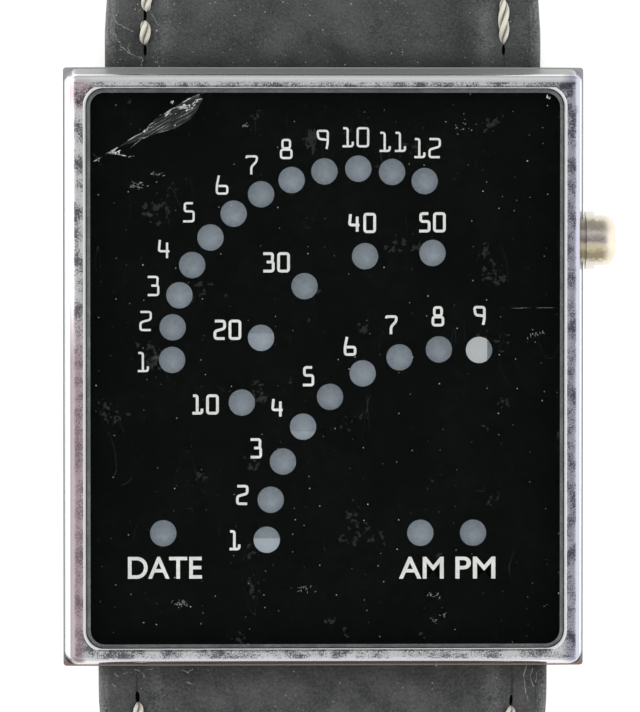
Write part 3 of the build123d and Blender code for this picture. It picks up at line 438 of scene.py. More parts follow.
@dataclass(frozen=True)
class PittedChrome:
    """Chrome plate over a die casting: bright, but worn to a dense speckle on the flat of the rim."""

    name: str = "pitted_chrome_plate"
    bright: str = "#e2e2e5"
    pit: str = "#33323b"
    # Painted shade: the grey of the north faces, which mirror the shaded table
    mirrored_shade: str = "#969b98"
    # Painted highlight: the white line along the inner chamfer
    highlight_white: str = "#ffffff"
    plain: str = "#c6c8cb"
    blush: str = "#b8969f"
    smudge: str = "#918a8b"
    cool: str = "#8587a4"
    bruise: str = "#2c2c40"
    lip: str = "#c4aca4"
    # Painted shade: the dark line in the groove above the lip
    groove_shade: str = "#26211f"
    pit_size: float = 0.11
    patch_size: float = 1.1
    inner_half: Point = (16.31, 19.06)
    beside_y: Point = (18.95, 18.92)
    groove_z: float = 5.69
    # Where each look sets in: its axis, and the places where it starts and where it is full
    reaches: tuple[tuple[str, int, float, float], ...] = (
        ("high", 2, 9.4, 9.6), ("ledge", 2, 5.9, 5.7), ("close", 1, 19.34, 19.22), ("left", 0, -16.1, -16.5),
        ("low", 1, 5, 0.5), ("right", 0, 15.9, 16.5), ("foot", 1, -19.95, -20.1), ("below", 1, -19.3, -19.6),
    )  # fmt: skip

    def build(self) -> Material:
        """Make the material.

        Returns:
            A material that reads the piece's Object coordinates and its normals.
        """
        material, shader = new_material(self.name, {})
        tree = material.node_tree
        place = add_node(tree, "TexCoord").outputs["Object"]
        parts = add_node(tree, "SeparateXYZ", {0: place}).outputs
        facing = add_node(tree, "NewGeometry").outputs["Normal"]
        faces = add_node(tree, "SeparateXYZ", {0: facing}).outputs
        flat = add_node(tree, "MapRange", {0: faces[2], 1: 0.9, 2: 0.985}).outputs[0]
        # North-facing faces take a painted grey: the shaded table that they mirror
        north = add_node(tree, "MapRange", {0: faces[1], 1: 0.88, 2: 0.97}).outputs[0]
        fine = add_node(
            tree, "TexNoise", {"Vector": place, "Scale": per_mm(self.pit_size), "Detail": 4, "Roughness": 0.7}
        ).outputs[0]
        patch = add_node(
            tree, "TexNoise", {"Vector": place, "Scale": per_mm(self.patch_size), "Detail": 3}
        ).outputs[0]
        lift = add_node(tree, "MapRange", {0: patch, 1: 0.3, 2: 0.7, 3: -0.15, 4: 0.15}).outputs[0]
        uneven = add_node(tree, "Math", {0: fine, 1: lift}, operation="ADD").outputs[0]
        past = {}
        for name, axis, start, full in self.reaches:
            limits = {0: parts[axis], 1: start * MM, 2: full * MM}
            past[name] = add_node(tree, "MapRange", limits).outputs[0]
        flat = add_node(tree, "Math", {0: flat, 1: past["high"]}, operation="MULTIPLY").outputs[0]
        across = add_node(tree, "Math", {0: parts[0]}, operation="ABSOLUTE").outputs[0]
        along = add_node(tree, "Math", {0: parts[1]}, operation="ABSOLUTE").outputs[0]
        half_x, half_y = (half * MM for half in self.inner_half)
        inside_x = add_node(tree, "Math", {0: across, 1: half_x}, operation="LESS_THAN").outputs[0]
        inside_y = add_node(tree, "Math", {0: along, 1: half_y}, operation="LESS_THAN").outputs[0]
        inner = add_node(tree, "Math", {0: inside_x, 1: inside_y}, operation="MULTIPLY").outputs[0]
        sloped = add_node(tree, "Math", {0: past["high"], 1: flat}, operation="SUBTRACT").outputs[0]
        chamfer = add_node(tree, "Math", {0: inner, 1: sloped}, operation="MULTIPLY").outputs[0]
        shoulder = add_node(tree, "Math", {0: sloped, 1: chamfer}, operation="SUBTRACT").outputs[0]
        # A painted highlight on the inner chamfer: white along the long sides; on the short ones only a thin
        # line beside the glass
        long_side = add_node(tree, "Math", {0: faces[0]}, operation="ABSOLUTE").outputs[0]
        long_side = add_node(tree, "MapRange", {0: long_side, 1: 0.25, 2: 0.5}).outputs[0]
        start, full = (reach * MM for reach in self.beside_y)
        beside = add_node(tree, "MapRange", {0: along, 1: start, 2: full, 4: 0.85}).outputs[0]
        highlight_sides = add_node(tree, "Math", {0: long_side, 1: beside}, operation="MAXIMUM").outputs[0]
        painted_highlight = add_node(tree, "Math", {0: chamfer, 1: highlight_sides}, operation="MULTIPLY").outputs[0]
        chamfer = add_node(tree, "Math", {0: chamfer, 1: painted_highlight}, operation="SUBTRACT").outputs[0]
        flat = add_node(tree, "Math", {0: flat, 1: chamfer}, operation="MAXIMUM").outputs[0]
        pits = add_node(tree, "MapRange", {0: uneven, 1: 0.44, 2: 0.6}).outputs[0]
        pits = add_node(tree, "Math", {0: pits, 1: flat}, operation="MULTIPLY").outputs[0]
        # At 12 o'clock the speckle keeps close to the glass
        pits = add_node(tree, "Math", {0: pits, 1: past["close"]}, operation="MULTIPLY").outputs[0]
        wall = add_node(tree, "Math", {0: faces[0]}, operation="ABSOLUTE").outputs[0]
        wall = add_node(tree, "MapRange", {0: wall, 1: 0.9, 2: 0.97}).outputs[0]
        wall = add_node(tree, "Math", {0: wall, 1: past["ledge"]}, operation="MAXIMUM").outputs[0]
        blush = add_node(tree, "Math", {0: past["left"], 1: past["low"]}, operation="MULTIPLY").outputs[0]
        smudge = add_node(tree, "Math", {0: shoulder, 1: blush}, operation="MULTIPLY").outputs[0]
        # The blushed stretch has fewer pits
        fewer = add_node(tree, "MapRange", {0: blush, 3: 1.0, 4: 0.7}).outputs[0]
        pits = add_node(tree, "Math", {0: pits, 1: fewer}, operation="MULTIPLY").outputs[0]
        # A line of painted shade in the groove above the lip, at 6 o'clock
        level = add_node(tree, "Math", {0: parts[2], 1: self.groove_z * MM}, operation="SUBTRACT").outputs[0]
        level = add_node(tree, "Math", {0: level}, operation="ABSOLUTE").outputs[0]
        groove = add_node(tree, "MapRange", {0: level, 1: 0.1 * MM, 2: 0.07 * MM}).outputs[0]
        groove = add_node(tree, "Math", {0: groove, 1: past["below"]}, operation="MULTIPLY").outputs[0]
        mottle = add_node(tree, "MapRange", {0: patch, 1: 0.4, 2: 0.6}).outputs[0]
        corner = spot(tree, place, (16.35, 18.2, 10), 1.3)
        corner = add_node(tree, "Math", {0: corner, 1: mottle}, operation="MULTIPLY").outputs[0]
        stain = spot(tree, place, (-16.5, 18.5, 10), 1.3)
        colour = linear(self.bright)
        for mask, strength, tint in (
            (blush, 0.72, self.blush),
            (past["right"], 0.6, self.cool),
            (stain, 0.6, self.blush),
            (pits, 0.86, self.pit),
            (corner, 0.8, self.bruise),
            (wall, 1.0, self.plain),
            (smudge, 0.9, self.smudge),
            (past["foot"], 0.9, self.lip),
            (groove, 0.9, self.groove_shade),
            (north, 0.95, self.mirrored_shade),
            (painted_highlight, 1.0, self.highlight_white),
        ):
            share = add_node(tree, "Math", {0: mask, 1: strength}, operation="MULTIPLY").outputs[0]
            colour = add_node(
                tree, "Mix", {0: share, 6: colour, 7: linear(tint)}, data_type="RGBA"
            ).outputs[2]
        # The painted shade of the north faces and the painted highlight scatter more light than they mirror
        dull = add_node(tree, "Math", {0: north, 1: painted_highlight}, operation="MAXIMUM").outputs[0]
        metal = add_node(tree, "MapRange", {0: dull, 3: 1.0, 4: 0.25}).outputs[0]
        metal = add_node(
            tree, "Math", {0: metal, 1: painted_highlight}, operation="SUBTRACT", use_clamp=True
        ).outputs[0]
        dull = add_node(tree, "Math", {0: dull, 1: flat}, operation="MAXIMUM").outputs[0]
        dull = add_node(tree, "Math", {0: dull, 1: past["ledge"]}, operation="MAXIMUM").outputs[0]
        rough = add_node(tree, "MapRange", {0: dull, 3: 0.14, 4: 0.42}).outputs[0]
        height = add_node(tree, "Math", {0: uneven, 1: flat}, operation="MULTIPLY").outputs[0]
        bump = add_node(tree, "Bump", {"Height": height, "Strength": 0.4, "Distance": 0.03 * MM}).outputs[0]
        connect(shader, {"Base Color": colour, "Metallic": metal, "Roughness": rough, "Normal": bump})
        return material


@dataclass(frozen=True)
class BandedNickel:
    """Nickel plate with a champagne cast and painted reflections: soft khaki and grey bands, a pale dome."""

    name: str = "champagne_nickel_plate"
    axis_y: float = 8.6
    radius: float = 2.0
    reflection_bands: tuple[tuple[float, str], ...] = (
        (0.0, "#efe6dd"), (0.13, "#e6dcd0"), (0.2, "#9d9377"), (0.3, "#a89e7e"), (0.36, "#d8cda8"),
        (0.44, "#e2d7c6"), (0.5, "#a69b98"), (0.56, "#b8aea9"), (0.63, "#cfc7bd"), (0.7, "#a39c8f"),
        (0.82, "#a9a393"), (0.88, "#dedacb"), (1.0, "#e9e6da"),
    )  # fmt: skip
    dome_highlight: str = "#e6dccb"
    dome_highlight_x: Point = (18.95, 19.35)

    def build(self) -> Material:
        """Make the material.

        Returns:
            A material that reads the piece's Object coordinates.
        """
        material, shader = new_material(self.name, {"Metallic": 0.7})
        tree = material.node_tree
        place = add_node(tree, "TexCoord").outputs["Object"]
        parts = add_node(tree, "SeparateXYZ", {0: place}).outputs
        low, high = (self.axis_y - self.radius) * MM, (self.axis_y + self.radius) * MM
        turn = add_node(tree, "MapRange", {0: parts[1], 1: low, 2: high}).outputs[0]
        mottle = add_node(tree, "TexNoise", {"Vector": place, "Scale": per_mm(0.22), "Detail": 4}).outputs[0]
        wander = add_node(tree, "MapRange", {0: mottle, 1: 0.3, 2: 0.7, 3: -0.035, 4: 0.035}).outputs[0]
        turn = add_node(tree, "Math", {0: turn, 1: wander}, operation="ADD").outputs[0]
        # The ramp paints the reflections that lie along the bar as bands
        ramp = add_node(tree, "ValToRGB", {0: turn})
        while len(ramp.color_ramp.elements) < len(self.reflection_bands):
            ramp.color_ramp.elements.new(0.5)
        for stop, (where, colour) in zip(ramp.color_ramp.elements, self.reflection_bands):
            stop.position = where
            stop.color = linear(colour)
        # A painted highlight pales the dome
        start, full = (reach * MM for reach in self.dome_highlight_x)
        pale = add_node(tree, "MapRange", {0: parts[0], 1: start, 2: full, 4: 0.85}).outputs[0]
        colour = add_node(
            tree, "Mix", {0: pale, 6: ramp.outputs[0], 7: linear(self.dome_highlight)}, data_type="RGBA"
        ).outputs[2]
        rough = add_node(tree, "MapRange", {0: mottle, 1: 0.3, 2: 0.7, 3: 0.3, 4: 0.42}).outputs[0]
        bump = add_node(tree, "Bump", {"Height": mottle, "Distance": 0.02 * MM}).outputs[0]
        connect(shader, {"Base Color": colour, "Roughness": rough, "Normal": bump})
        return material


@dataclass(frozen=True)
class WornGlass:
    """Flat mineral glass: clear, with a mirror skin, dust specks, hairlines and hazy scuffs on its face."""

    name: str = "worn_mineral_glass"
    mirror: str = "#ffffff"
    dust: str = "#c9ccc8"
    dust_cell: float = 1.0
    scuff_size: float = 3.2

    def build(self) -> Material:
        """Make the material.

        Returns:
            A material that is clear but for its reflection and its dirt.
        """
        material, shader = new_material(self.name, {"Roughness": 0.04})
        tree = material.node_tree
        place = add_node(tree, "TexCoord").outputs["Object"]
        cells = add_node(
            tree, "TexVoronoi", {"Vector": place, "Scale": per_mm(self.dust_cell)}, voronoi_dimensions="2D"
        )
        pick = add_node(tree, "SeparateColor", {0: cells.outputs["Color"]}).outputs
        chosen = add_node(tree, "Math", {0: pick[0], 1: 0.55}, operation="GREATER_THAN").outputs[0]
        reach = add_node(tree, "MapRange", {0: pick[1], 3: 0.012, 4: 0.045}).outputs[0]
        near = add_node(
            tree, "Math", {0: cells.outputs["Distance"], 1: reach}, operation="LESS_THAN"
        ).outputs[0]
        specks = add_node(tree, "Math", {0: near, 1: chosen}, operation="MULTIPLY").outputs[0]
        strength = add_node(tree, "MapRange", {0: pick[2], 1: 0.4, 2: 1.0, 3: 0.06, 4: 0.8}).outputs[0]
        faint = add_node(tree, "Math", {0: specks, 1: strength}, operation="MULTIPLY").outputs[0]
        patch = add_node(
            tree, "TexNoise", {"Vector": place, "Scale": per_mm(self.scuff_size), "Detail": 3}
        ).outputs[0]
        zone = add_node(tree, "MapRange", {0: patch, 1: 0.62, 2: 0.78}).outputs[0]
        rub = add_node(tree, "TexNoise", {"Vector": place, "Scale": per_mm(0.3), "Detail": 4}).outputs[0]
        rubbed = add_node(tree, "MapRange", {0: rub, 1: 0.5, 2: 0.75, 4: 0.12}).outputs[0]
        scuffs = add_node(tree, "Math", {0: zone, 1: rubbed}, operation="MULTIPLY").outputs[0]
        slant = add_node(
            tree, "Mapping", {"Vector": place, "Rotation": (0, 0, 0.5), "Scale": (1, 0.2, 1)}
        ).outputs[0]
        field_of_lines = add_node(
            tree, "TexNoise", {"Vector": slant, "Scale": per_mm(2.2), "Detail": 1}
        ).outputs[0]
        off_line = add_node(tree, "Math", {0: field_of_lines, 1: 0.5}, operation="SUBTRACT").outputs[0]
        distance = add_node(tree, "Math", {0: off_line}, operation="ABSOLUTE").outputs[0]
        line = add_node(tree, "MapRange", {0: distance, 1: 0.0016, 2: 0.0006, 4: 0.018}).outputs[0]
        broken = add_node(tree, "MapRange", {0: patch, 1: 0.5, 2: 0.6}).outputs[0]
        hairlines = add_node(tree, "Math", {0: line, 1: broken}, operation="MULTIPLY").outputs[0]
        dirt = add_node(tree, "Math", {0: faint, 1: scuffs}, operation="MAXIMUM").outputs[0]
        dirt = add_node(tree, "Math", {0: dirt, 1: hairlines}, operation="MAXIMUM").outputs[0]
        skin = add_node(tree, "Fresnel", {"IOR": 1.45}).outputs[0]
        alpha = add_node(tree, "Math", {0: skin, 1: dirt}, operation="MAXIMUM").outputs[0]
        # The lower face is wetted by the ink, so it has no skin of its own
        inside = add_node(tree, "NewGeometry").outputs["Backfacing"]
        outside = add_node(tree, "Math", {0: 1.0, 1: inside}, operation="SUBTRACT").outputs[0]
        alpha = add_node(tree, "Math", {0: alpha, 1: outside}, operation="MULTIPLY").outputs[0]
        dirty = add_node(tree, "Math", {0: dirt, 1: 0.01}, operation="GREATER_THAN").outputs[0]
        clean = add_node(tree, "Math", {0: 1.0, 1: dirty}, operation="SUBTRACT").outputs[0]
        colour = add_node(
            tree, "Mix", {0: dirty, 6: linear(self.mirror), 7: linear(self.dust)}, data_type="RGBA"
        ).outputs[2]
        connect(shader, {"Base Color": colour, "Metallic": clean, "Alpha": alpha})
        return material


@dataclass(frozen=True)
class RippledGlass:
    """The floor of a shell-shaped chip: clear, with fine pale ripples that run along it."""

    name: str = "rippled_broken_glass"
    colour: str = "#cdd1cd"
    lean: float = 0.55
    ripple: float = 0.09
    length: float = 14.0
    strength: float = 0.28
    haze: float = 0.02

    def build(self) -> Material:
        """Make the material.

        Returns:
            A material that is mostly clear.
        """
        material, shader = new_material(self.name, {"Roughness": 0.3, "Base Color": linear(self.colour)})
        tree = material.node_tree
        place = add_node(tree, "TexCoord").outputs["Object"]
        turned = add_node(tree, "VectorRotate", {"Vector": place, "Angle": -self.lean}).outputs[0]
        drawn = add_node(tree, "Mapping", {"Vector": turned, "Scale": (1 / self.length, 1, 1)}).outputs[0]
        ripples = add_node(
            tree, "TexNoise", {"Vector": drawn, "Scale": per_mm(self.ripple), "Detail": 3}
        ).outputs[0]
        pale = add_node(tree, "MapRange", {0: ripples, 1: 0.52, 2: 0.72, 4: self.strength}).outputs[0]
        cloud = add_node(tree, "TexNoise", {"Vector": place, "Scale": per_mm(1.2), "Detail": 2}).outputs[0]
        cloud = add_node(tree, "MapRange", {0: cloud, 1: 0.35, 2: 0.65, 3: 0.3}).outputs[0]
        alpha = add_node(tree, "Math", {0: pale, 1: cloud}, operation="MULTIPLY").outputs[0]
        alpha = add_node(tree, "Math", {0: alpha, 1: self.haze}, operation="ADD").outputs[0]
        tree.links.new(alpha, shader.inputs["Alpha"])
        return material


@dataclass(frozen=True)
class Leather:
    """Waxed charcoal leather, rubbed pale along its edges, with fine pores, dust and painted shade."""

    name: str
    colour: str
    shade: str
    edge: str
    dust: str = "#c3c5c0"
    pore: float = 0.32
    seam: bool = False
    roughness: float = 0.55

    def specks(
        self, tree: NodeTree, place: NodeSocket, cell: float, rare: float, radius: float
    ) -> NodeSocket:
        """Scatter round specks of random size and strength.

        Args:
            tree: The node tree.
            place: Object coordinates.
            cell: Mean distance between specks, in millimetres.
            rare: Share of the specks that are left out.
            radius: Greatest radius, as a share of the cell.

        Returns:
            Their mask.
        """
        cells = add_node(tree, "TexVoronoi", {"Vector": place, "Scale": per_mm(cell)})
        pick = add_node(tree, "SeparateColor", {0: cells.outputs["Color"]}).outputs
        chosen = add_node(tree, "Math", {0: pick[0], 1: rare}, operation="GREATER_THAN").outputs[0]
        reach = add_node(tree, "MapRange", {0: pick[1], 3: 0.2 * radius, 4: radius}).outputs[0]
        share = add_node(
            tree, "Math", {0: cells.outputs["Distance"], 1: reach}, operation="DIVIDE"
        ).outputs[0]
        near = add_node(tree, "MapRange", {0: share, 1: 1.0, 2: 0.5}).outputs[0]
        near = add_node(tree, "Math", {0: near, 1: chosen}, operation="MULTIPLY").outputs[0]
        return add_node(tree, "Math", {0: near, 1: pick[2]}, operation="MULTIPLY").outputs[0]

    def build(self) -> Material:
        """Make the material.

        Returns:
            A material that reads Object coordinates and, at a seam, the piece's own edge and run attributes.
        """
        material, shader = new_material(self.name, {"IOR": 1.4})
        tree = material.node_tree
        place = add_node(tree, "TexCoord").outputs["Object"]
        cloud = add_node(tree, "TexNoise", {"Vector": place, "Scale": per_mm(2.6), "Detail": 6}).outputs[0]
        grain = add_node(tree, "TexNoise", {"Vector": place, "Scale": per_mm(0.14), "Detail": 4}).outputs[0]
        both = add_node(tree, "MapRange", {0: grain, 1: 0.3, 2: 0.7, 3: -0.22, 4: 0.22}).outputs[0]
        both = add_node(tree, "Math", {0: cloud, 1: both}, operation="ADD").outputs[0]
        share = add_node(tree, "MapRange", {0: both, 1: 0.24, 2: 0.76}).outputs[0]
        colour = add_node(
            tree, "Mix", {0: share, 6: linear(self.shade), 7: linear(self.colour)}, data_type="RGBA"
        ).outputs[2]
        pores = add_node(
            tree, "TexVoronoi", {"Vector": place, "Scale": per_mm(self.pore)}
        ).outputs["Distance"]
        height = add_node(tree, "Math", {0: pores, 1: grain}, operation="ADD").outputs[0]
        if self.seam:
            edge = add_node(tree, "Attribute", attribute_name="edge_mm").outputs["Fac"]
            run = add_node(tree, "Attribute", attribute_name="run_mm").outputs["Fac"]
            # Rubbed pale at the edge and on the ridge inside the seam; painted shade darkens it beside the
            # case
            rubbed = add_node(tree, "MapRange", {0: edge, 1: 0.9, 2: 0.1, 4: 0.7}).outputs[0]
            ridge = add_node(tree, "Math", {0: edge, 1: 4.0}, operation="SUBTRACT").outputs[0]
            ridge = add_node(tree, "Math", {0: ridge}, operation="ABSOLUTE").outputs[0]
            ridge = add_node(tree, "MapRange", {0: ridge, 1: 0.9, 2: 0.1, 4: 0.35}).outputs[0]
            worn = add_node(tree, "Math", {0: rubbed, 1: ridge}, operation="MAXIMUM").outputs[0]
            worn = add_node(tree, "Math", {0: worn, 1: share}, operation="MULTIPLY").outputs[0]
            colour = add_node(
                tree, "Mix", {0: worn, 6: colour, 7: linear(self.edge)}, data_type="RGBA"
            ).outputs[2]
            shade_and_paint_lines = add_node(tree, "MapRange", {0: run, 1: 4.3, 2: 3.0, 4: 0.5}).outputs[0]
            wavy = add_node(tree, "MapRange", {0: cloud, 1: 0.3, 2: 0.7, 3: -0.3, 4: 0.3}).outputs[0]
            # Dark lines: painted shade in the seam's groove, and the borders of the edge paint along the edge
            for inset, reach, strength in ((2.7, 0.14, 0.8), (0.75, 0.1, 0.55), (0.3, 0.07, 0.5)):
                off = add_node(tree, "Math", {0: edge, 1: inset}, operation="SUBTRACT").outputs[0]
                if inset < 1:
                    off = add_node(tree, "Math", {0: off, 1: wavy}, operation="ADD").outputs[0]
                off = add_node(tree, "Math", {0: off}, operation="ABSOLUTE").outputs[0]
                line = add_node(tree, "MapRange", {0: off, 1: reach, 2: 0.0, 4: strength}).outputs[0]
                shade_and_paint_lines = add_node(tree, "Math", {0: shade_and_paint_lines, 1: line}, operation="MAXIMUM").outputs[0]
            colour = add_node(
                tree, "Mix", {0: shade_and_paint_lines, 6: colour, 7: linear("#141615")}, data_type="RGBA"
            ).outputs[2]
        for cell, rare, radius in ((1.0, 0.45, 0.11), (0.4, 0.62, 0.17), (0.17, 0.8, 0.3)):
            dusty = self.specks(tree, place, cell, rare, radius)
            colour = add_node(
                tree, "Mix", {0: dusty, 6: colour, 7: linear(self.dust)}, data_type="RGBA"
            ).outputs[2]
        high, low = self.roughness + 0.1, self.roughness - 0.08
        rough = add_node(tree, "MapRange", {0: cloud, 1: 0.35, 2: 0.65, 3: high, 4: low}).outputs[0]
        bump = add_node(tree, "Bump", {"Height": height, "Strength": 0.6, "Distance": 0.08 * MM}).outputs[0]
        connect(shader, {"Base Color": colour, "Roughness": rough, "Normal": bump})
        return material


@dataclass(frozen=True)
class LinenThread:
    """Waxed linen thread, cream where it bulges, with brown painted shade in the grooves between its plies.
    """

    name: str = "waxed_linen_thread"
    colour: str = "#f6f3e6"
    ply_groove_shade: str = "#857d69"
    fibre: float = 0.07

    def build(self) -> Material:
        """Make the material.

        Returns:
            A material that reads how far out of the rope each place lies.
        """
        material, shader = new_material(self.name, {"Roughness": 0.6})
        tree = material.node_tree
        place = add_node(tree, "TexCoord").outputs["Object"]
        out = add_node(tree, "Attribute", attribute_name="out").outputs["Fac"]
        fibres = add_node(
            tree, "TexNoise", {"Vector": place, "Scale": per_mm(self.fibre), "Detail": 3}
        ).outputs[0]
        shift = add_node(tree, "MapRange", {0: fibres, 1: 0.3, 2: 0.7, 3: -0.16, 4: 0.16}).outputs[0]
        # Painted shade: darker where a place lies deep in the rope
        clean = add_node(tree, "Math", {0: out, 1: shift}, operation="ADD", use_clamp=True).outputs[0]
        colour = add_node(
            tree, "Mix", {0: clean, 6: linear(self.ply_groove_shade), 7: linear(self.colour)}, data_type="RGBA"
        ).outputs[2]
        bump = add_node(tree, "Bump", {"Height": fibres, "Distance": 0.04 * MM}).outputs[0]
        connect(shader, {"Base Color": colour, "Normal": bump})
        return material


class StrapLeather(Enum):
    """The leathers of the strap."""

    OUTER = Leather("waxed_calf_leather", "#565857", "#313333", "#8b8e8d", seam=True)
    LINING = Leather("split_leather_lining", "#5a4436", "#493628", "#6b5545", roughness=0.7)
    KEEPER = Leather("waxed_keeper_leather", "#434545", "#2b2d2d", "#6c6e6e")


# The dial: printed numerals and words, and the windows


@dataclass(frozen=True)
class Glyph:
    """A numeral drawn with a round pen: strokes in a box of unit width and height."""

    strokes: tuple[tuple[Point, ...], ...]
    closed: bool = False


GLYPHS = {
    "0": Glyph((((0, 0), (1, 0), (1, 1), (0, 1)),), closed=True),
    "1": Glyph((((0.08, 1), (0.5, 1), (0.5, 0)), ((0.02, 0), (0.98, 0), (0.98, 0.26)))),
    "2": Glyph((((0.02, 1), (1, 1), (1, 0.58), (0.02, 0.42), (0.02, 0), (1, 0)),)),
    "3": Glyph((((0, 1), (0.95, 1), (0.9, 0.52), (1, 0.46), (1, 0), (0, 0)), ((0.35, 0.52), (0.9, 0.52)))),
    "4": Glyph((((0.1, 1), (0, 0.38), (1, 0.38)), ((0.78, 0.86), (0.78, 0)))),
    "5": Glyph((((0.92, 1), (0.15, 1), (0.15, 0.55), (1, 0.55), (1, 0), (0, 0)),)),
    "6": Glyph((((0.2, 1), (0, 0.42), (0, 0), (1, 0), (1, 0.42), (0.16, 0.42)),)),
    "7": Glyph((((0, 0.9), (0, 1), (1, 1), (0.95, 0.72), (0.45, 0.42), (0.45, 0)),)),
    "8": Glyph(
        (((0, 0), (1, 0), (1, 0.46), (0, 0.46)), ((0.14, 0.54), (0.86, 0.54), (0.86, 1), (0.14, 1))),
        closed=True,
    ),
    "9": Glyph((((1, 0.5), (0.12, 0.56), (0, 1), (1, 1), (1, 0.35), (0.88, 0)),)),
}


@dataclass
class Dial:
    """White numerals and words under the glass, and the satin fills of the light windows."""

    print_z: float = 8.6
    print_thick: float = 0.02
    numeral_height: float = 1.37
    numeral_width: float = 0.86
    digit_gap: float = 0.17
    pen_round: float = 0.16
    word_height: float = 1.49
    window_radius: float = 0.89
    window_z: float = 8.603
    window_tones: Point = (0.38, 0.48)
    middle_highlight: float = 0.28
    patch_rise: float = 0.004
    word_offset: float = 0.012
    merge: float = 0.0005
    labels: tuple[tuple[str, float, float, float], ...] = (
        ("DATE", -13.3, -8.3, -13.48), ("AM", 5.02, 8.05, -13.51), ("PM", 8.84, 11.55, -13.51),
    )  # fmt: skip
    # Windows with painted light behind part of the film: index, the cut's place, its angle and the tone
    light_patches: tuple[tuple[int, float, float, float], ...] = (
        (25, 0.62, 0, 1.6), (17, 0.1, 90, 0.9), (13, 0.35, 90, 0.62), (20, -0.35, 90, 0.66),
    )  # fmt: skip

    hours: tuple[Point, ...] = (
        (-12.28, 0.42), (-12.1, 3.19), (-11.59, 5.55), (-10.84, 8.04), (-9.2, 10.52), (-6.93, 12.39),
        (-4.92, 13.68), (-2.6, 14.79), (-0.15, 15.4), (2.06, 15.58), (4.56, 15.27), (6.9, 14.85),
    )  # fmt: skip
    tens: tuple[Point, ...] = (
        (-8.1, -2.45), (-6.58, 2.59), (-3.3, 7.14), (2.52, 9.8), (7.23, 9.84),
    )  # fmt: skip
    units: tuple[Point, ...] = (
        (-6.11, -11.63), (-5.58, -8.57), (-4.67, -5.42), (-3.19, -2.68), (-1.14, -0.55), (1.71, 1.51),
        (4.51, 2.88), (7.65, 3.49), (10.45, 3.51),
    )  # fmt: skip

    def numeral(self, bm: BMesh, text: str, centre: Point, stroke: float) -> None:
        """Draw a number.

        Args:
            bm: The bmesh that gets it.
            text: Its digits.
            centre: Its centre, in millimetres.
            stroke: The pen's width.
        """
        span = self.numeral_width - stroke
        step = self.numeral_width + self.digit_gap
        first_x = centre[0] - step * (len(text) - 1) / 2 - span / 2
        rise = self.numeral_height - stroke
        for place, digit in enumerate(text):
            for line in GLYPHS[digit].strokes:
                points = [
                    (first_x + step * place + u * span, centre[1] - rise / 2 + v * rise) for u, v in line
                ]
                self.stroke_line(bm, points, stroke, GLYPHS[digit].closed)

    def stroke_line(self, bm: BMesh, points: list[Point], stroke: float, closed: bool) -> None:
        """Draw one stroke of the pen as a flattened tube, with its corners rounded.

        Args:
            bm: The bmesh that gets it.
            points: Its corners, in millimetres.
            stroke: The pen's width.
            closed: Whether it ends where it starts.
        """
        curve = bpy.data.curves.new("pen", "CURVE")
        curve.dimensions = "3D"
        curve.bevel_depth = stroke / 2 * MM
        curve.bevel_resolution = 2
        curve.use_fill_caps = True
        path = rounded_path(points, self.pen_round, closed)
        spline = curve.splines.new("POLY")
        spline.points.add(len(path) - 1)
        for point, (x, y) in zip(spline.points, path):
            point.co = (x * MM, y * MM, 0, 1)
        spline.use_cyclic_u = closed
        pen = bpy.data.objects.new("pen", curve)
        drawn = bpy.data.meshes.new_from_object(pen)
        raised = Matrix.Translation((0, 0, (self.print_z + self.print_thick / 2) * MM))
        drawn.transform(raised @ Matrix.Diagonal((1, 1, self.print_thick / stroke, 1)))
        bm.from_mesh(drawn)
        bpy.data.objects.remove(pen)
        bpy.data.curves.remove(curve)
        bpy.data.meshes.remove(drawn)

    def words(self, bm: BMesh, text: str, left: float, right: float, centre_y: float) -> None:
        """Set a word in bold plain capitals between two places.

        Args:
            bm: The bmesh that gets it.
            text: The word.
            left: Its left end, in millimetres.
            right: Its right end.
            centre_y: The middle of its height.
        """
        curve = bpy.data.curves.new("word", "FONT")
        half_depth = 0.01
        curve.body = text
        curve.extrude = half_depth
        curve.offset = self.word_offset
        word = bpy.data.objects.new("word", curve)
        set_type = bpy.data.meshes.new_from_object(word)
        xs = [vert.co.x for vert in set_type.vertices]
        ys = [vert.co.y for vert in set_type.vertices]
        scale_x = (right - left) / (max(xs) - min(xs)) * MM
        scale_y = self.word_height / (max(ys) - min(ys)) * MM
        place = Matrix.Translation(
            (left * MM, (centre_y - self.word_height / 2) * MM, (self.print_z + self.print_thick / 2) * MM)
        )
        size = Matrix.Diagonal((scale_x, scale_y, self.print_thick * MM / (2 * half_depth), 1))
        set_type.transform(place @ size @ Matrix.Translation((-min(xs), -min(ys), 0)))
        bm.from_mesh(set_type)
        bpy.data.objects.remove(word)
        bpy.data.curves.remove(curve)
        bpy.data.meshes.remove(set_type)

    def build_print(self, ink: Material) -> None:
        """Build all the printed numerals and words.

        Args:
            ink: The white ink.
        """
        rows = (
            ("print_hours", self.hours, 1, 0.15),
            ("print_tens", self.tens, 10, 0.19),
            ("print_units", self.units, 1, 0.18),
        )
        for name, centres, step, stroke in rows:
            bm = bmesh.new()
            for index, centre in enumerate(centres):
                self.numeral(bm, str((index + 1) * step), centre, stroke)
            bmesh.ops.remove_doubles(bm, verts=bm.verts, dist=self.merge * MM)
            seat(mesh_piece(bm, name, ink), "case", "diffuser_film")
        bm = bmesh.new()
        for word, left, right, centre_y in self.labels:
            self.words(bm, word, left, right, centre_y)
        bmesh.ops.remove_doubles(bm, verts=bm.verts, dist=self.merge * MM)
        seat(mesh_piece(bm, "print_words", ink), "case", "diffuser_film")

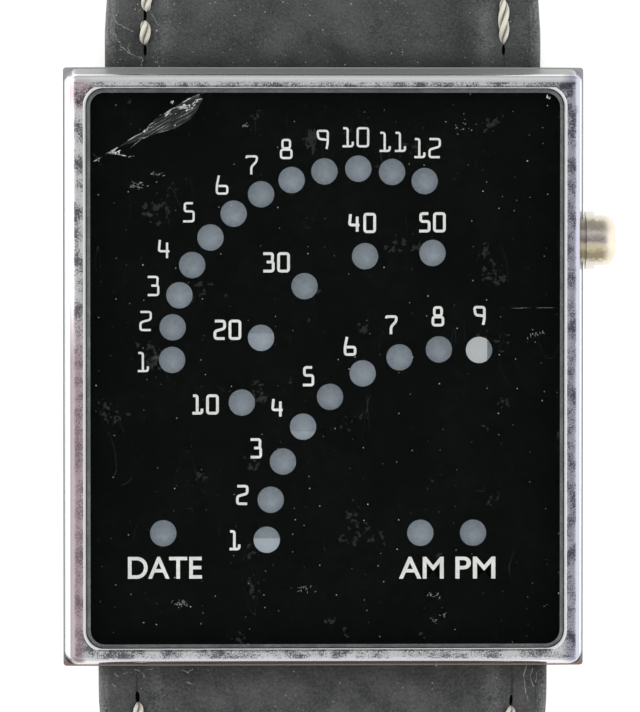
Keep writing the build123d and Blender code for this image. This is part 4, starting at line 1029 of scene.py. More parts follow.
    def build_windows(self, fill: Material) -> None:
        """Fill each light window with a thin satin disc, some crossed by the edge of a painted patch of
        light.

        Args:
            fill: The satin film, which reads each disc's own tone.
        """
        random.seed(7)
        bm = bmesh.new()
        tone = bm.verts.layers.float.new("tone")
        places = window_places()
        for x, y in places:
            self.window_disc(bm, tone, x, y, random.uniform(*self.window_tones))
        for index, cut, angle, level in self.light_patches:
            x, y = places[index]
            part = bmesh.new()
            part_tone = part.verts.layers.float.new("tone")
            self.window_disc(part, part_tone, x, y, level, self.patch_rise)
            normal = Vector((math.cos(math.radians(angle)), math.sin(math.radians(angle)), 0))
            edge = Vector((x, y, self.window_z)) * MM + normal * cut * self.window_radius * MM
            bmesh.ops.bisect_plane(
                part, geom=part.verts[:] + part.edges[:] + part.faces[:], plane_co=edge, plane_no=normal,
                clear_outer=True,
            )  # fmt: skip
            mesh = bpy.data.meshes.new("patch")
            part.to_mesh(mesh)
            part.free()
            bm.from_mesh(mesh)
            bpy.data.meshes.remove(mesh)
        seat(mesh_piece(bm, "window_fills", fill), "case", "diffuser_film")

    def window_disc(
        self, bm: BMesh, tone: BMLayerItem, x: float, y: float, level: float, raised: float = 0.0
    ) -> None:
        """Add one disc, with a painted highlight a little below its middle.

        Args:
            bm: The bmesh.
            tone: Its tone layer.
            x: The disc's place across, in millimetres.
            y: Its place up the dial.
            level: Its tone at the rim.
            raised: How far it stands above the other discs.
        """
        place = Matrix.Translation((x * MM, y * MM, (self.window_z + raised) * MM))
        disc = bmesh.ops.create_circle(
            bm, cap_ends=True, cap_tris=True, segments=40, radius=self.window_radius * MM, matrix=place
        )
        for vert in disc["verts"]:
            centred = (vert.co - place.translation).length < 0.1 * MM
            # The middle vertex carries a painted highlight and sits a little below the centre
            vert[tone] = level + (self.middle_highlight if centred else 0)
            if centred:
                vert.co += Vector((0.1, -0.32, 0)) * self.window_radius * MM


def rounded_path(points: list[Point], radius: float, closed: bool) -> list[Point]:
    """Round the corners of a pen stroke.

    Args:
        points: The stroke's corners.
        radius: How far before each corner the round starts.
        closed: Whether the stroke is a loop.

    Returns:
        The points of the rounded stroke.
    """
    count = len(points)
    path = []
    for index, point in enumerate(points):
        if not closed and index in (0, count - 1):
            path.append(point)
            continue
        here = Vector(point)
        before = Vector(points[index - 1]) - here
        after = Vector(points[(index + 1) % count]) - here
        reach = min(radius, before.length / 2, after.length / 2)
        start, end = here + before.normalized() * reach, here + after.normalized() * reach
        for step in range(5):
            t = step / 4
            bent = start.lerp(here, t).lerp(here.lerp(end, t), t)
            path.append((bent.x, bent.y))
    return path


def window_places() -> list[Point]:
    """Places of the light windows, on the same three arcs as in the frame.

    Returns:
        Hours, tens, units, date, morning and afternoon, in millimetres.
    """
    places = []
    for centre_x, centre_y, radius_x, radius_y, start, step, count in (
        (2.16, 1.46, 12.5, 12.0, 184.3, -10.53, 12),
        (5.52, -3.25, 11.16, 11.16, 175.25, -23.58, 5),
        (8.89, -11.5, 12.81, 12.81, 180.45, -12.17, 9),
    ):
        for index in range(count):
            turn = math.radians(start + step * index)
            places.append((centre_x + radius_x * math.cos(turn), centre_y + radius_y * math.sin(turn)))
    return [*places, (-10.91, -11.15), (6.465, -11.15), (10.035, -11.15)]


def window_film() -> Material:
    """Make the satin film of the windows, as bright as each disc's tone; tones above 1 are painted light.

    Returns:
        The material.
    """
    material, shader = new_material("satin_window_film", {"Roughness": 0.4, "IOR": 1.1})
    tree = material.node_tree
    place = add_node(tree, "TexCoord").outputs["Object"]
    tone = add_node(tree, "Attribute", attribute_name="tone").outputs["Fac"]
    mottle = add_node(tree, "TexNoise", {"Vector": place, "Scale": per_mm(0.25), "Detail": 3}).outputs[0]
    shift = add_node(tree, "MapRange", {0: mottle, 1: 0.3, 2: 0.7, 3: -0.06, 4: 0.06}).outputs[0]
    level = add_node(tree, "Math", {0: tone, 1: shift}, operation="ADD").outputs[0]
    colour = add_node(
        tree, "Mix", {0: level, 6: linear("#2d3740"), 7: linear("#a4aeb5")}, data_type="RGBA"
    ).outputs[2]
    # Tones above 1 are painted light, which turns the film pale
    painted_light = add_node(tree, "MapRange", {0: level, 1: 1.0, 2: 2.0}).outputs[0]
    colour = add_node(tree, "Mix", {0: painted_light, 6: colour, 7: linear("#bfc2c1")}, data_type="RGBA").outputs[2]
    tree.links.new(colour, shader.inputs["Base Color"])
    return material


# The crystal


@dataclass
class Crystal:
    """The glass with its ground edge, and the chip and scuffs on its face."""

    width: float = 32.1
    length: float = 37.6
    corner: float = 1.2
    bevel: float = 0.24
    base_z: float = 8.64
    top_z: float = 10.095
    flake: float = 0.004

    def build(self, glass: Material, ground: Material) -> None:
        """Build the glass slab.

        Args:
            glass: The clear worn glass.
            ground: The ground glass of its bevel and sides.
        """
        bm = bmesh.new()
        outline = rounded_outline(self.width, self.length, self.corner, 10)
        ring = start_ring(bm, [Vector((x, y, self.base_z)) * MM for x, y in outline])
        bottom = bmesh.ops.contextual_create(bm, geom=ring_edges(bm, ring))["faces"]
        bmesh.ops.recalc_face_normals(bm, faces=bm.faces)
        raise_facet(bm, bottom, self.top_z - self.base_z)
        top = [face for face in bm.faces if all(v.co.z > (self.top_z - 0.01) * MM for v in face.verts)]
        bmesh.ops.bevel(
            bm, geom=list(top[0].edges), offset=self.bevel * MM, affect="EDGES", segments=1, profile=0.5,
            material=-1,
        )  # fmt: skip
        bmesh.ops.recalc_face_normals(bm, faces=bm.faces)
        for face in bm.faces:
            face.material_index = 0 if abs(face.normal.z) > 0.95 else 1
        piece = mesh_piece(bm, "crystal_glass", glass, 20)
        piece.data.materials.append(ground)
        seat(piece, "case", "mineral_glass", "crystal")

    def sliver(self, bm: BMesh, start: Point, end: Point, width: float) -> None:
        """Add one thin broken facet to the face of the glass.

        Args:
            bm: The bmesh.
            start: One end, in millimetres.
            end: The other end.
            width: The facet's greatest width.
        """
        a, b = Vector((*start, self.top_z)), Vector((*end, self.top_z))
        side = (b - a).cross(Vector((0, 0, 1))).normalized() * width / 2
        swell = a.lerp(b, random.uniform(0.3, 0.7))
        corners = [a, swell + side, b, swell - side * random.uniform(0.2, 1)]
        verts = [bm.verts.new(corner * MM) for corner in corners]
        face = bmesh.ops.contextual_create(bm, geom=verts)["faces"]
        raise_facet(bm, face, self.flake)

    def glints(self, bm: BMesh, line: tuple[Point, ...], width: float, copies: int, spread: float) -> None:
        """Lay slivers along a broken line, each shifted and cut short at random.

        Args:
            bm: The bmesh.
            line: The line's corners, in millimetres.
            width: The slivers' usual width.
            copies: Slivers for each leg of the line.
            spread: How far they stray.
        """
        for a, b in zip(line, line[1:]):
            for _ in range(copies):
                from_share = random.uniform(0, 0.5)
                to_share = random.uniform(from_share + 0.3, 1)
                ends = []
                for share in (from_share, to_share):
                    ends.append(tuple(p + random.gauss(0, spread) for p in Vector(a).lerp(Vector(b), share)))
                self.sliver(bm, ends[0], ends[1], random.uniform(0.4, 1.3) * width)

    def crumbs(
        self, bm: BMesh, centre: Point, spread: float, count: int, lean: float, size: float, thick: float
    ) -> None:
        """Scatter short slivers round a place.

        Args:
            bm: The bmesh.
            centre: The place, in millimetres.
            spread: How far they stray.
            count: How many.
            lean: Their usual direction in degrees.
            size: Their greatest length.
            thick: Their greatest width, as a share of the size.
        """
        for _ in range(count):
            root = Vector(centre) + Vector((random.gauss(0, spread), random.gauss(0, spread * 0.45)))
            angle = math.radians(random.gauss(lean, 16))
            tip = root + Vector((math.cos(angle), math.sin(angle))) * random.uniform(0.3, 1) * size
            self.sliver(bm, tuple(root), tuple(tip), random.uniform(0.3, 1) * thick * size)

    def build_chip(self, broken: Material, shell: Material, scuffed: Material) -> None:
        """Build the long shell-shaped chip across the top left corner and the scuffs elsewhere.

        Args:
            broken: Broken glass, whitish and glittering.
            shell: The smooth rippled floor of the chip.
            scuffed: Rubbed glass, half clear.
        """
        random.seed(11)
        upper = ((-13.89, 14.92), (-12.14, 16.06), (-11.2, 16.87), (-9.92, 17.75), (-8.5, 18.5))
        lower = ((-8.25, 18.1), (-8.6, 17.4), (-9.1, 16.75), (-9.99, 16.2), (-11.47, 15.79), (-12.81, 15.26))
        floor = bmesh.new()
        ring = start_ring(floor, [Vector((x, y, self.top_z)) * MM for x, y in (*upper, *lower)])
        face = bmesh.ops.contextual_create(floor, geom=ring_edges(floor, ring))["faces"]
        raise_facet(floor, face, self.flake / 2)
        seat(mesh_piece(floor, "glass_chip_floor", shell), "case", "mineral_glass")

        bm = bmesh.new()
        for line, width, copies, spread in (
            (((-15.84, 13.84), (-14.9, 14.3), (-14.1, 14.75), (-13.89, 14.92)), 0.07, 4, 0.03),
            (upper, 0.035, 3, 0.05),
            (((-12.3, 15.9), (-11.9, 16.15), (-11.3, 16.5)), 0.09, 3, 0.03),
            (((-11.0, 16.9), (-10.4, 17.3)), 0.07, 3, 0.05),
            (((-10.2, 17.5), (-9.2, 17.7), (-8.3, 18.2)), 0.08, 4, 0.08),
            (lower[3:], 0.018, 2, 0.02),
            (((-13.4, 14.9), (-11.8, 15.75), (-10.2, 16.6), (-8.9, 17.3)), 0.012, 2, 0.09),
            (((-10.2, 16.3), (-9.95, 16.5)), 0.07, 2, 0.02),
            (((-8.5, 18.4), (-8.0, 18.75)), 0.03, 2, 0.02),
            (((-14.2, 14.5), (-13.22, 14.25)), 0.07, 3, 0.03),
        ):
            self.glints(bm, line, width, copies, spread)
        for centre, spread, count, lean, size, thick in (
            ((-14.35, 14.5), 0.17, 12, 40, 0.32, 0.6), ((-13.25, 14.27), 0.1, 3, 10, 0.16, 0.5),
            ((-9.35, 17.5), 0.26, 14, 38, 0.36, 0.55), ((-10.3, 17.9), 0.08, 4, 70, 0.22, 0.5),
            ((-10.8, 17.0), 0.3, 6, 33, 0.2, 0.25), ((14.98, 18.2), 0.07, 5, 75, 0.32, 0.4),
        ):  # fmt: skip
            self.crumbs(bm, centre, spread, count, lean, size, thick)
        seat(mesh_piece(bm, "glass_chip", broken), "case", "mineral_glass")

        worn = bmesh.new()
        for centre, spread, count, lean in (
            ((-12.7, 12.3), 0.28, 26, 18), ((-11.4, 13.0), 0.2, 10, 25), ((-5.5, 16.3), 0.14, 8, 30),
            ((-9.78, -15.7), 0.3, 30, -60), ((-1.37, -14.96), 0.4, 16, 60), ((7.38, -15.3), 0.3, 18, 50),
            ((14.2, 2.2), 0.35, 14, 100), ((9.0, 16.4), 0.6, 12, 10), ((7.5, -16.8), 0.5, 14, 20),
        ):  # fmt: skip
            self.crumbs(worn, centre, spread, count, lean, 0.26, 0.35)
        self.glints(worn, ((12.2, 4.1), (14.0, 4.08), (15.8, 4.1)), 0.03, 3, 0.02)
        self.glints(worn, ((-8.4, 7.5), (-8.22, 7.25), (-8.2, 6.95), (-8.3, 6.75)), 0.025, 1, 0.005)
        seat(mesh_piece(worn, "glass_scuffs", scuffed), "case", "mineral_glass")


# The strap


class Clock(Enum):
    """The two strap halves; the value is the sign of their y."""

    TWELVE = 1
    SIX = -1


@dataclass
class Station:
    """One place along a strap half: its run from the spring bar and the band's section there."""

    run: float
    half: float
    top: float
    under: float


@dataclass(frozen=True)
class SeamRow:
    """One row of stitches: its side, its inset from the edge and the pace of the hand that sewed it."""

    side: int
    inset: float
    first: float
    pitch: float
    length: float


@dataclass
class StrapHalf:
    """One half of the strap: outer leather, lining and two rows of stitches."""

    clock: Clock
    outer_node: str
    lining_node: str
    body: str
    seam_end: float
    rows: tuple[SeamRow, SeamRow]
    bar_y: float = 17.6
    band_step: float = 0.75
    seam_step: float = 0.25
    edge_round: float = 0.6
    seam_inset: float = 2.75
    groove_depth: float = 0.16
    thread: float = 0.19
    ply_offset: float = 0.2
    # Half a turn of the thread, the rise of a stitch and how deep its ends go
    lay: float = 2.1
    arch: float = 0.3
    buried: float = 0.2
    # The width beside the case, as a share of the solid's, and the run where it is the solid's again
    width_share: float = 1.0
    share_run: float = 40.0
    bar_z: float = 2.9
    bar_bore: float = 0.95
    buckle_run: float = 72.0
    buckle_z: float = 2.3
    buckle_bore: float = 0.81
    tongue_slot: tuple[float, float, float] = (3.0, 13.0, 88.1)
    holes: int = 7
    last_hole: float = 88.0
    hole_pitch: float = 6.5
    hole_radius: float = 1.0

    def tree(self, node: str) -> BVHTree:
        """Give a search tree of a CAD node's mesh."""
        bm = bmesh.new()
        bm.from_mesh(frame["nodes"][node].data)
        found = BVHTree.FromBMesh(bm)
        bm.free()
        return found

    def station(self, tree: BVHTree, run: float) -> Station | None:
        """Measure the CAD solid at one run.

        Args:
            tree: The solid's search tree.
            run: The run from the spring bar, in millimetres.

        Returns:
            The section there, or None past the solid's ends.
        """
        y = self.clock.value * (self.bar_y + run) * MM
        # Nearer and nearer the middle line, because the ends are rounded
        for x in (4 * MM, 1.6 * MM, 0.3 * MM, 0.02 * MM):
            top = tree.ray_cast(Vector((x, y, FAR)), Vector((0, 0, -1)))[0]
            under = tree.ray_cast(Vector((x, y, -FAR)), Vector((0, 0, 1)))[0]
            if top and under:
                level = under.z + (top.z - under.z) * 0.85
                side = tree.ray_cast(Vector((FAR, y, level)), Vector((-1, 0, 0)))[0]
                swell = 1 + (self.width_share - 1) * max(0.0, 1 - run / self.share_run)
                return Station(run, side.x / MM * swell, top.z / MM, under.z / MM)
        return None

    def stations(self, tree: BVHTree, runs: list[float]) -> list[Station]:
        """Measure the solid at many runs and leave out those past its ends."""
        return [found for found in (self.station(tree, run) for run in runs) if found]

    def flank(self, at: Station, seam: float, lining: bool) -> list[tuple[float, float, float]]:
        """Points of half of the band's section: across, height and distance from the edge on its upper face.

        Args:
            at: The station.
            seam: The seam's inset on this side.
            lining: Whether this is the lining, which has no seam on its upper face.

        Returns:
            The points from below to the middle. Their distances are shifted so that the seam's is seam_inset.
        """
        rise = at.top - at.under
        edge = min(self.edge_round, rise * 0.45, at.half * 0.5)
        low = min(0.22, rise * 0.3, at.half * 0.3)
        shrink = min(1.0, at.half / 12)
        beside_seam = (seam + gap for gap in (-0.6, -0.35, -0.2, -0.07, 0.05, 0.17, 0.3, 0.45, 0.75))
        insets = (0.9, 1.35, *beside_seam, 4.4, 6.2, 8.6, 11.0)
        right = []
        for step in range(4):
            angle = -math.pi / 2 + step / 3 * math.pi / 2
            place = (at.half - low + low * math.cos(angle), at.under + low + low * math.sin(angle))
            right.append((*place, -1.0))
        for step in range(7):
            angle = step / 6 * math.pi / 2
            place = (at.half - edge + edge * math.cos(angle), at.top - edge + edge * math.sin(angle))
            right.append((*place, edge * (1 - math.cos(angle)) * 0.6))
        for inset in insets:
            gap = (inset - seam) / 0.32
            sink = 0 if lining else self.groove_depth * math.exp(-gap * gap)
            right.append((at.half - inset * shrink, at.top - sink, inset + self.seam_inset - seam))
        return right

    def section(self, at: Station, lining: bool) -> list[tuple[float, float, float]]:
        """Join both flanks of the band's section, the left one mirrored."""
        left, right = (self.flank(at, row.inset, lining) for row in self.rows)
        return [*right, *((-x, z, d) for x, z, d in reversed(left))]

    def band(self, name: str, node: str, finish: Material, lining: bool) -> Object:
        """Build one layer of leather by extruding its section along the strap.

        Args:
            name: The piece's name.
            node: The CAD node that it replaces.
            finish: Its leather.
            lining: Whether it is the lining.

        Returns:
            The piece, not yet seated.
        """
        tree = self.tree(node)
        ends = (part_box(node)[0].y / MM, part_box(node)[1].y / MM)
        low, high = sorted(self.clock.value * end - self.bar_y for end in ends)
        # Close together where the ends are rounded, and even between
        steps = int((high - low - 3) / self.band_step)
        runs = {low + 2 + step * self.band_step for step in range(steps)}
        runs |= {low + gap for gap in (0.02, 0.12, 0.35, 0.8, 1.4)}
        runs |= {high - gap for gap in (0.02, 0.12, 0.4, 0.9)}
        bm = bmesh.new()
        edge_layer = bm.verts.layers.float.new("edge_mm")
        run_layer = bm.verts.layers.float.new("run_mm")
        first = ring = None
        for at in self.stations(tree, sorted(runs)):
            section = self.section(at, lining)
            y = self.clock.value * (self.bar_y + at.run)
            places = [Vector((x, y, z)) * MM for x, z, _ in section]
            ring = start_ring(bm, places) if ring is None else grow_ring(bm, ring, places)
            first = first or ring
            for vert, (_, _, inset) in zip(ring, section):
                vert[edge_layer] = inset
                vert[run_layer] = at.run
        close_tube(bm, first, ring)
        return mesh_piece(bm, name, finish, 50)

    def rod(self, run: float, z: float, radius: float) -> Object:
        """Make a long rod across the strap, to cut a tunnel with."""
        y = self.clock.value * (self.bar_y + run)
        place = Matrix.Translation(Vector((0, y, z)) * MM) @ Matrix.Rotation(math.pi / 2, 4, "Y")
        return round_tool(place, radius, 60)

    def post(self, run: float, radius: float) -> Object:
        """Make an upright post, to punch a hole with."""
        y = self.clock.value * (self.bar_y + run)
        return round_tool(Matrix.Translation(Vector((0, y, 2)) * MM), radius, 20)

    def tools(self) -> list[Object]:
        """Make what cuts the tunnels of the bars, the tongue's slot and the holes."""
        made = [self.rod(0, self.bar_z, self.bar_bore)]
        if self.clock is Clock.TWELVE:
            made.append(self.rod(self.buckle_run, self.buckle_z, self.buckle_bore))
            made.append(slot_tool(*self.tongue_slot))
        else:
            runs = (self.last_hole - self.hole_pitch * index for index in range(self.holes))
            made.extend(self.post(run, self.hole_radius) for run in runs)
        return made

    def build(self, outer: Material, lining: Material) -> None:
        """Build both layers of leather, cut them and seat them.

        Args:
            outer: The outer leather.
            lining: The lining's leather.
        """
        tag = self.clock.name.lower()
        upper = self.band(f"strap_{tag}_leather", self.outer_node, outer, False)
        under = self.band(f"strap_{tag}_lining", self.lining_node, lining, True)
        cutters = self.tools()
        # The first tunnel lies in the turned loop of the outer leather alone
        copies = [copy_of(tool) for tool in cutters[1:]]
        cut_away(upper, cutters)
        cut_away(under, copies)
        seat(upper, self.body, "strap_leather", self.outer_node)
        seat(under, self.body, "lining_leather", self.lining_node)

    def seam_path(self, row: SeamRow) -> list[Vector]:
        """Line that one row of stitches follows on the outer leather's upper face.

        Args:
            row: The row.

        Returns:
            Its places, in millimetres, one seam_step apart.
        """
        tree = self.tree(self.outer_node)
        steps = int((self.seam_end - row.first) / self.seam_step)
        runs = [row.first + self.seam_step * step for step in range(steps)]
        path = []
        for at in self.stations(tree, runs):
            shrink = min(1.0, at.half / 12)
            across = row.side * (at.half - row.inset * shrink)
            path.append(Vector((across, self.clock.value * (self.bar_y + at.run), at.top)))
        return path

    def sew(self, thread: Material, dark: Material) -> None:
        """Build the twisted thread of every stitch and the black plugs of painted shade between them.

        Args:
            thread: The thread's finish.
            dark: The finish of the painted shade in a hole, which gives back no light.
        """
        random.seed(3 + self.clock.value)
        sewn, holes = bmesh.new(), bmesh.new()
        out = sewn.verts.layers.float.new("out")
        for row in self.rows:
            line = self.seam_path(row)
            travelled, mark = 0.0, 0.0
            self.slit(holes, line[0], (line[0] - line[1]).normalized(), 0.75)
            for a, b in zip(line, line[1:]):
                travelled += (b - a).length
                if travelled >= mark:
                    along = (b - a).normalized()
                    length = row.length * random.uniform(0.94, 1.04)
                    self.stitch(sewn, out, a, along, length)
                    self.slit(holes, a + along * length * 0.93, along, row.pitch - length * 0.86)
                    mark += row.pitch * random.uniform(0.97, 1.03)
        tag = self.clock.name.lower()
        seat(mesh_piece(sewn, f"stitches_{tag}", thread, 60), self.body, "strap_leather")
        seat(mesh_piece(holes, f"stitch_slits_{tag}", dark, 60), self.body, "strap_leather")

    def slit(self, bm: BMesh, start: Vector, along: Vector, length: float) -> None:
        """Add one slit of painted shade: a thin black lens-shaped plug on the floor of the seam's groove.

        Args:
            bm: The bmesh.
            start: Where it begins, in millimetres.
            along: The way that the seam runs.
            length: Its length.
        """
        across = along.cross(Vector((0, 0, 1))).normalized()
        up = across.cross(along)
        middle = start + along * length / 2 - up * (self.groove_depth - 0.02)
        half_width = random.uniform(0.1, 0.17)
        axes = Matrix((along * length / 2, across * half_width, up * 0.03)).transposed()
        place = Matrix.Translation(middle * MM) @ (axes * MM).to_4x4()
        bmesh.ops.create_icosphere(bm, subdivisions=2, radius=1, matrix=place)

    def stitch(self, bm: BMesh, out: BMLayerItem, start: Vector, along: Vector, length: float) -> None:
        """Add one stitch: three plies twisted together, swelling out of one hole and into the next.

        Args:
            bm: The bmesh.
            out: Its layer of how far out of the rope a vertex lies, from 0 to 1.
            start: Where it comes up, in millimetres.
            along: The way that the seam runs.
            length: Its length.
        """
        across = along.cross(Vector((0, 0, 1))).normalized()
        up = across.cross(along)
        phase = math.pi / 2 + random.uniform(-0.35, 0.35)
        twist = length / self.lay * math.pi
        steps, around = 14, 8
        for ply in (0, 2 * math.pi / 3, 4 * math.pi / 3):
            first = ring = None
            for step in range(steps + 1):
                t = step / steps
                swell = max(0.16, (1 - abs(2 * t - 1) ** 3.2) ** 0.55)
                turn = phase + ply - t * twist
                rise = self.arch * math.sin(math.pi * t) ** 0.7 - self.buried
                core = start + along * (length * t) + up * rise
                centre = core + (across * math.cos(turn) + up * math.sin(turn)) * (self.ply_offset * swell)
                places = []
                for side in range(around):
                    angle = 2 * math.pi * side / around
                    way = across * math.cos(angle) + up * math.sin(angle)
                    places.append((centre + way * self.thread * swell) * MM)
                ring = start_ring(bm, places) if ring is None else grow_ring(bm, ring, places)
                first = first or ring
                for vert in ring:
                    reach = (vert.co / MM - core).length / ((self.thread + self.ply_offset) * swell)
                    vert[out] = min(1.0, max(0.0, (reach - 0.55) / 0.35))
            close_tube(bm, first, ring)


CRACKS = {
    Clock.TWELVE: (
        ((-14.3, 24.2), (-14.1, 23.5), (-13.6, 23.1), (-13.2, 22.95), (-12.9, 22.8)),
        ((-14.5, 22.7), (-14.1, 22.6), (-13.95, 22.1), (-13.6, 21.7), (-13.2, 21.3), (-12.75, 21.1),
         (-12.35, 21.0)),
        ((-12.4, 21.05), (-12.3, 20.8), (-12.32, 20.45)),
        ((-13.2, 22.0), (-13.25, 21.6), (-13.1, 21.35)),
        ((-11.7, 24.0), (-11.4, 23.5), (-11.1, 23.2)),
    ),
    Clock.SIX: (
        ((-14.2, -20.9), (-13.9, -21.1)), ((-13.6, -21.0), (-13.3, -20.8)), ((-12.9, -20.6), (-12.5, -20.8)),
        ((-12.4, -20.9), (-12.2, -21.2)), ((-12.0, -20.7), (-11.6, -20.6)), ((-14.4, -21.6), (-14.1, -21.9)),
        ((-9.6, -20.7), (-9.2, -20.9), (-8.9, -20.6)), ((-9.3, -21.5), (-8.9, -21.7)),
        ((13.9, -20.4), (13.7, -21.2), (13.8, -22.0), (14.0, -22.8)),
        ((14.3, -20.6), (14.2, -21.3), (14.4, -21.9)), ((14.6, -20.9), (14.5, -21.6)),
    ),
}  # fmt: skip
# How far a crack's lifted wax clears the leather, and how thick it is, in millimetres
CRACK_GAP = 0.004
CRACK_RISE = 0.006


def build_cracks(clock: Clock, body: str, wax: Material) -> None:
    """Build the pale hair cracks in the wax beside the case.

    Args:
        clock: The strap half.
        body: The body it moves with.
        wax: Pale broken wax.
    """
    random.seed(5)
    leather = bpy.data.objects[f"strap_{clock.name.lower()}_leather"]
    skin = BVHTree.FromObject(leather, bpy.context.evaluated_depsgraph_get())
    bm = bmesh.new()
    for line in CRACKS[clock]:
        jagged = [line[0]]
        for a, b in zip(line, line[1:]):
            for t in (0.3, 0.65):
                jagged.append(tuple(p + random.gauss(0, 0.045) for p in Vector(a).lerp(Vector(b), t)))
            jagged.append(b)
        for a, b in zip(jagged, jagged[1:]):
            start, end = Vector(a), Vector(b)
            side = Vector((a[1] - b[1], b[0] - a[0])).normalized() * random.uniform(0.012, 0.038)
            corners = []
            for place in (start + side, end + side, end - side, start - side):
                high = skin.ray_cast(Vector((*place * MM, FAR)), Vector((0, 0, -1)))[0]
                corners.append(bm.verts.new(high + Vector((0, 0, CRACK_GAP * MM))))
            face = bmesh.ops.contextual_create(bm, geom=corners)["faces"]
            raise_facet(bm, face, CRACK_RISE)
    seat(mesh_piece(bm, f"wax_cracks_{clock.name.lower()}", wax), body, "strap_leather")


@dataclass
class Keeper:
    """A leather loop round the strap, with rounded edges."""

    node: str
    body: str
    band: float
    corner: float
    edge: float = 0.28

    def build(self, leather: Material) -> None:
        """Build the loop by taking its section round the strap.

        Args:
            leather: Its leather.
        """
        low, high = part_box(self.node)
        width, height = (high.x - low.x) / MM - self.band, (high.z - low.z) / MM - self.band
        centre_z, y, deep = (low.z + high.z) / 2 / MM, (low.y + high.y) / 2 / MM, (high.y - low.y) / MM
        path = rounded_outline(width, height, self.corner + self.band / 2, 6)
        section = rounded_outline(self.band, deep, self.edge, 3)
        bm = bmesh.new()
        first = ring = None
        for index, (x, z) in enumerate(path):
            before, after = Vector(path[index - 1]), Vector(path[(index + 1) % len(path)])
            way = (after - before).normalized()
            out = Vector((way.y, -way.x))
            places = [Vector((x + out.x * n, y + m, centre_z + z + out.y * n)) * MM for n, m in section]
            ring = start_ring(bm, places) if ring is None else grow_ring(bm, ring, places)
            first = first or ring
        bmesh.ops.bridge_loops(bm, edges=ring_edges(bm, first) + ring_edges(bm, ring))
        bmesh.ops.recalc_face_normals(bm, faces=bm.faces)
        piece = mesh_piece(bm, f"{self.node}_leather", leather, 45)
        seat(piece, self.body, "keeper_leather", self.node)


# Studio


@dataclass
class Studio:
    """A white table, soft lights round it and the photograph's camera. Pixels are those of the photograph."""

    distance: float = 400.0
    scale_px: float = 14.86
    image: tuple[int, int] = (640, 712)
    dial_px: Point = (325.4, 368.7)
    lean: Point = (-0.030, 0.028)
    rim_z: float = 10.0
    sensor: float = 36.0
    table_half: float = 1.2
    table_glow: float = 0.55
    table_gap: float = 0.02

    def build_table(self) -> None:
        """Build the pale table top."""
        bm = bmesh.new()
        bmesh.ops.create_grid(bm, x_segments=1, y_segments=1, size=self.table_half)
        material, shader = new_material("white_table", {"Base Color": linear("#f7f7f5"), "Roughness": 0.8})
        shader.inputs["Emission Color"].default_value = linear("#ffffff")
        shader.inputs["Emission Strength"].default_value = self.table_glow
        table = mesh_piece(bm, "table", material)
        table.location.z = -self.table_gap * MM

    def build_lights(self) -> None:
        """Light the table from two soft boxes and a sky that is pale all round and dark overhead."""
        boxes = (
            ("left_box", (-0.6, 0.05, 0.2), 0.8, 1.2),
            ("right_box", (0.6, 0.0, 0.25), 0.8, 0.9),
        )
        for name, place, size, power in boxes:
            light = bpy.data.lights.new(name, "AREA")
            light.shape = "SQUARE"
            light.size = size
            light.energy = power
            lamp = bpy.data.objects.new(name, light)
            lamp.location = place
            lamp.rotation_euler = (-Vector(place)).to_track_quat("-Z", "Y").to_euler()
            bpy.context.scene.collection.objects.link(lamp)
        world = bpy.data.worlds.new("studio")
        world.use_nodes = True
        tree = world.node_tree
        way = add_node(tree, "TexCoord").outputs["Generated"]
        parts = add_node(tree, "SeparateXYZ", {0: way}).outputs
        side = add_node(tree, "Math", {0: parts[0]}, operation="ABSOLUTE").outputs[0]
        side = add_node(tree, "MapRange", {0: side, 1: 0.3, 2: 0.9, 3: 0.85, 4: 1.15}).outputs[0]
        back = add_node(tree, "MapRange", {0: parts[1], 1: 0.4, 2: 0.9, 3: 1.0, 4: 0.75}).outputs[0]
        level = add_node(tree, "Math", {0: side, 1: back}, operation="MULTIPLY").outputs[0]
        # The lens and the hand that holds it darken the middle of the ceiling
        open_sky = add_node(tree, "MapRange", {0: parts[2], 1: 0.955, 2: 0.985, 3: 1.0, 4: 0.04}).outputs[0]
        level = add_node(tree, "Math", {0: level, 1: open_sky}, operation="MULTIPLY").outputs[0]
        tree.links.new(level, tree.nodes["Background"].inputs["Color"])
        bpy.context.scene.world = world
        bpy.context.scene.view_settings.view_transform = "Standard"

    def build_camera(self) -> None:
        """Place the camera over the dial, leaning slightly towards the upper left."""
        wide, high = self.image
        aim_x = (wide / 2 - self.dial_px[0]) / self.scale_px
        aim_y = (self.dial_px[1] - high / 2) / self.scale_px
        aim = Vector((aim_x, aim_y, self.rim_z))
        place = aim + Vector((self.lean[0], self.lean[1], 1)).normalized() * self.distance
        camera = bpy.data.cameras.new("photo_camera")
        camera.sensor_width = self.sensor
        camera.lens = self.scale_px * self.distance * self.sensor / high
        camera.clip_start = 0.01
        eye = bpy.data.objects.new("photo_camera", camera)
        eye.location = place * MM
        back = (place - aim).normalized()
        right = Vector((0, 1, 0)).cross(back).normalized()
        eye.rotation_euler = Matrix((right, back.cross(right), back)).transposed().to_euler()
        bpy.context.scene.collection.objects.link(eye)
        bpy.context.scene.camera = eye


def dress_frame() -> None:
    """Give every CAD node the finish of its slot."""
    chrome = PittedChrome().build()
    made = {slot: finish.build() for slot, finish in FINISHES.items()}
    made["chromed_case"] = chrome
    made["nickel_collar"] = made["nickel_button"] = BandedNickel().build()
    slots = {part["node"]: part["material_slot"] for part in frame["record"]["subparts"]}
    for name, node in frame["nodes"].items():
        finish = made.get(slots[name])
        if finish:
            for index in range(len(node.material_slots)):
                node.material_slots[index].material = finish
            LOG.info("%s is dressed in %s", name, finish.name)


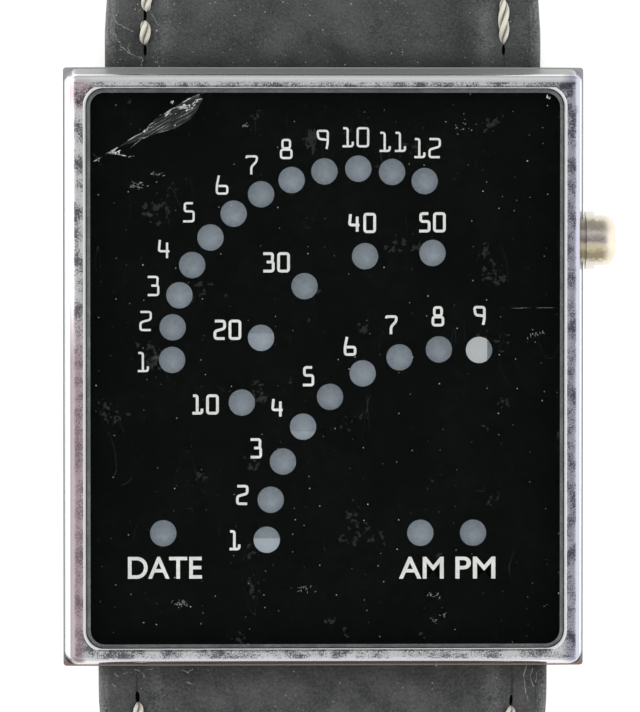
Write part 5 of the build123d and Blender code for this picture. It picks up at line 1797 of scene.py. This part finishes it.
def main() -> None:
    """Build the studio and then the watch, piece by piece."""
    logging.basicConfig(level=logging.INFO, format="%(message)s")
    studio = Studio()
    studio.build_table()
    studio.build_lights()
    studio.build_camera()
    dress_frame()

    # Screen ink, flat white and a little thin at its edges
    ink = Finish("white_screen_ink", "#f2f3f0", "#dcdfdc", 0.0, 0.5, 0.05, 0.15, 0.004, ior=1.04).build()
    dial = Dial()
    dial.build_print(ink)
    dial.build_windows(window_film())

    # Ground glass edge: frosted grey, it scatters the light that enters it
    ground = Finish("ground_glass_edge", "#686c6b", "#474b4b", 0.0, 0.45, 0.08, 0.2, 0.008).build()
    # Freshly broken glass: whitish; its white is also a painted highlight, the glitter of its many facets
    broken = Finish("broken_glass", "#ffffff", "#b4b8b6", 0.0, 0.25, 0.1, 0.12, 0.03).build()
    crystal = Crystal()
    crystal.build(WornGlass().build(), ground)
    scuffed = RippledGlass("rubbed_glass", length=1, strength=0.5, haze=0.22).build()
    crystal.build_chip(broken, RippledGlass().build(), scuffed)

    outer = StrapLeather.OUTER.value.build()
    lining = StrapLeather.LINING.value.build()
    thread = LinenThread().build()
    # Painted shade in the depth of a stitch hole: black, it gives back no light
    dark = Finish("stitch_hole_shade", "#070707", "#040404", 0.0, 0.9, 0.05, 0.3, 0.001, ior=1.05).build()
    halves = (
        StrapHalf(
            Clock.TWELVE, "strap_buckle_outer", "strap_buckle_lining", "strap_12", 61.0,
            (SeamRow(-1, 2.75, 4.3, 2.45, 1.75), SeamRow(1, 2.55, 4.35, 3.7, 3.1)), width_share=0.982,
        ),
        StrapHalf(
            Clock.SIX, "strap_tail_outer", "strap_tail_lining", "strap_6", 110.5,
            (SeamRow(-1, 2.65, 5.3, 2.45, 1.75), SeamRow(1, 2.45, 5.6, 2.45, 1.75)), width_share=1.016,
        ),
    )
    for half in halves:
        half.build(outer, lining)
        half.sew(thread, dark)

    # Broken wax: pale grey where it has lifted
    wax = Finish("lifted_wax", "#9a9c98", "#6d706d", 0.0, 0.6, 0.08, 0.12, 0.01).build()
    for half in halves:
        build_cracks(half.clock, half.body, wax)

    loop = StrapLeather.KEEPER.value.build()
    Keeper("keeper_fixed", "strap_12", 1.2, 0.4).build(loop)
    Keeper("keeper_free", "free_keeper", 0.9, 0.4).build(loop)


if __name__ == "__main__":
    main()
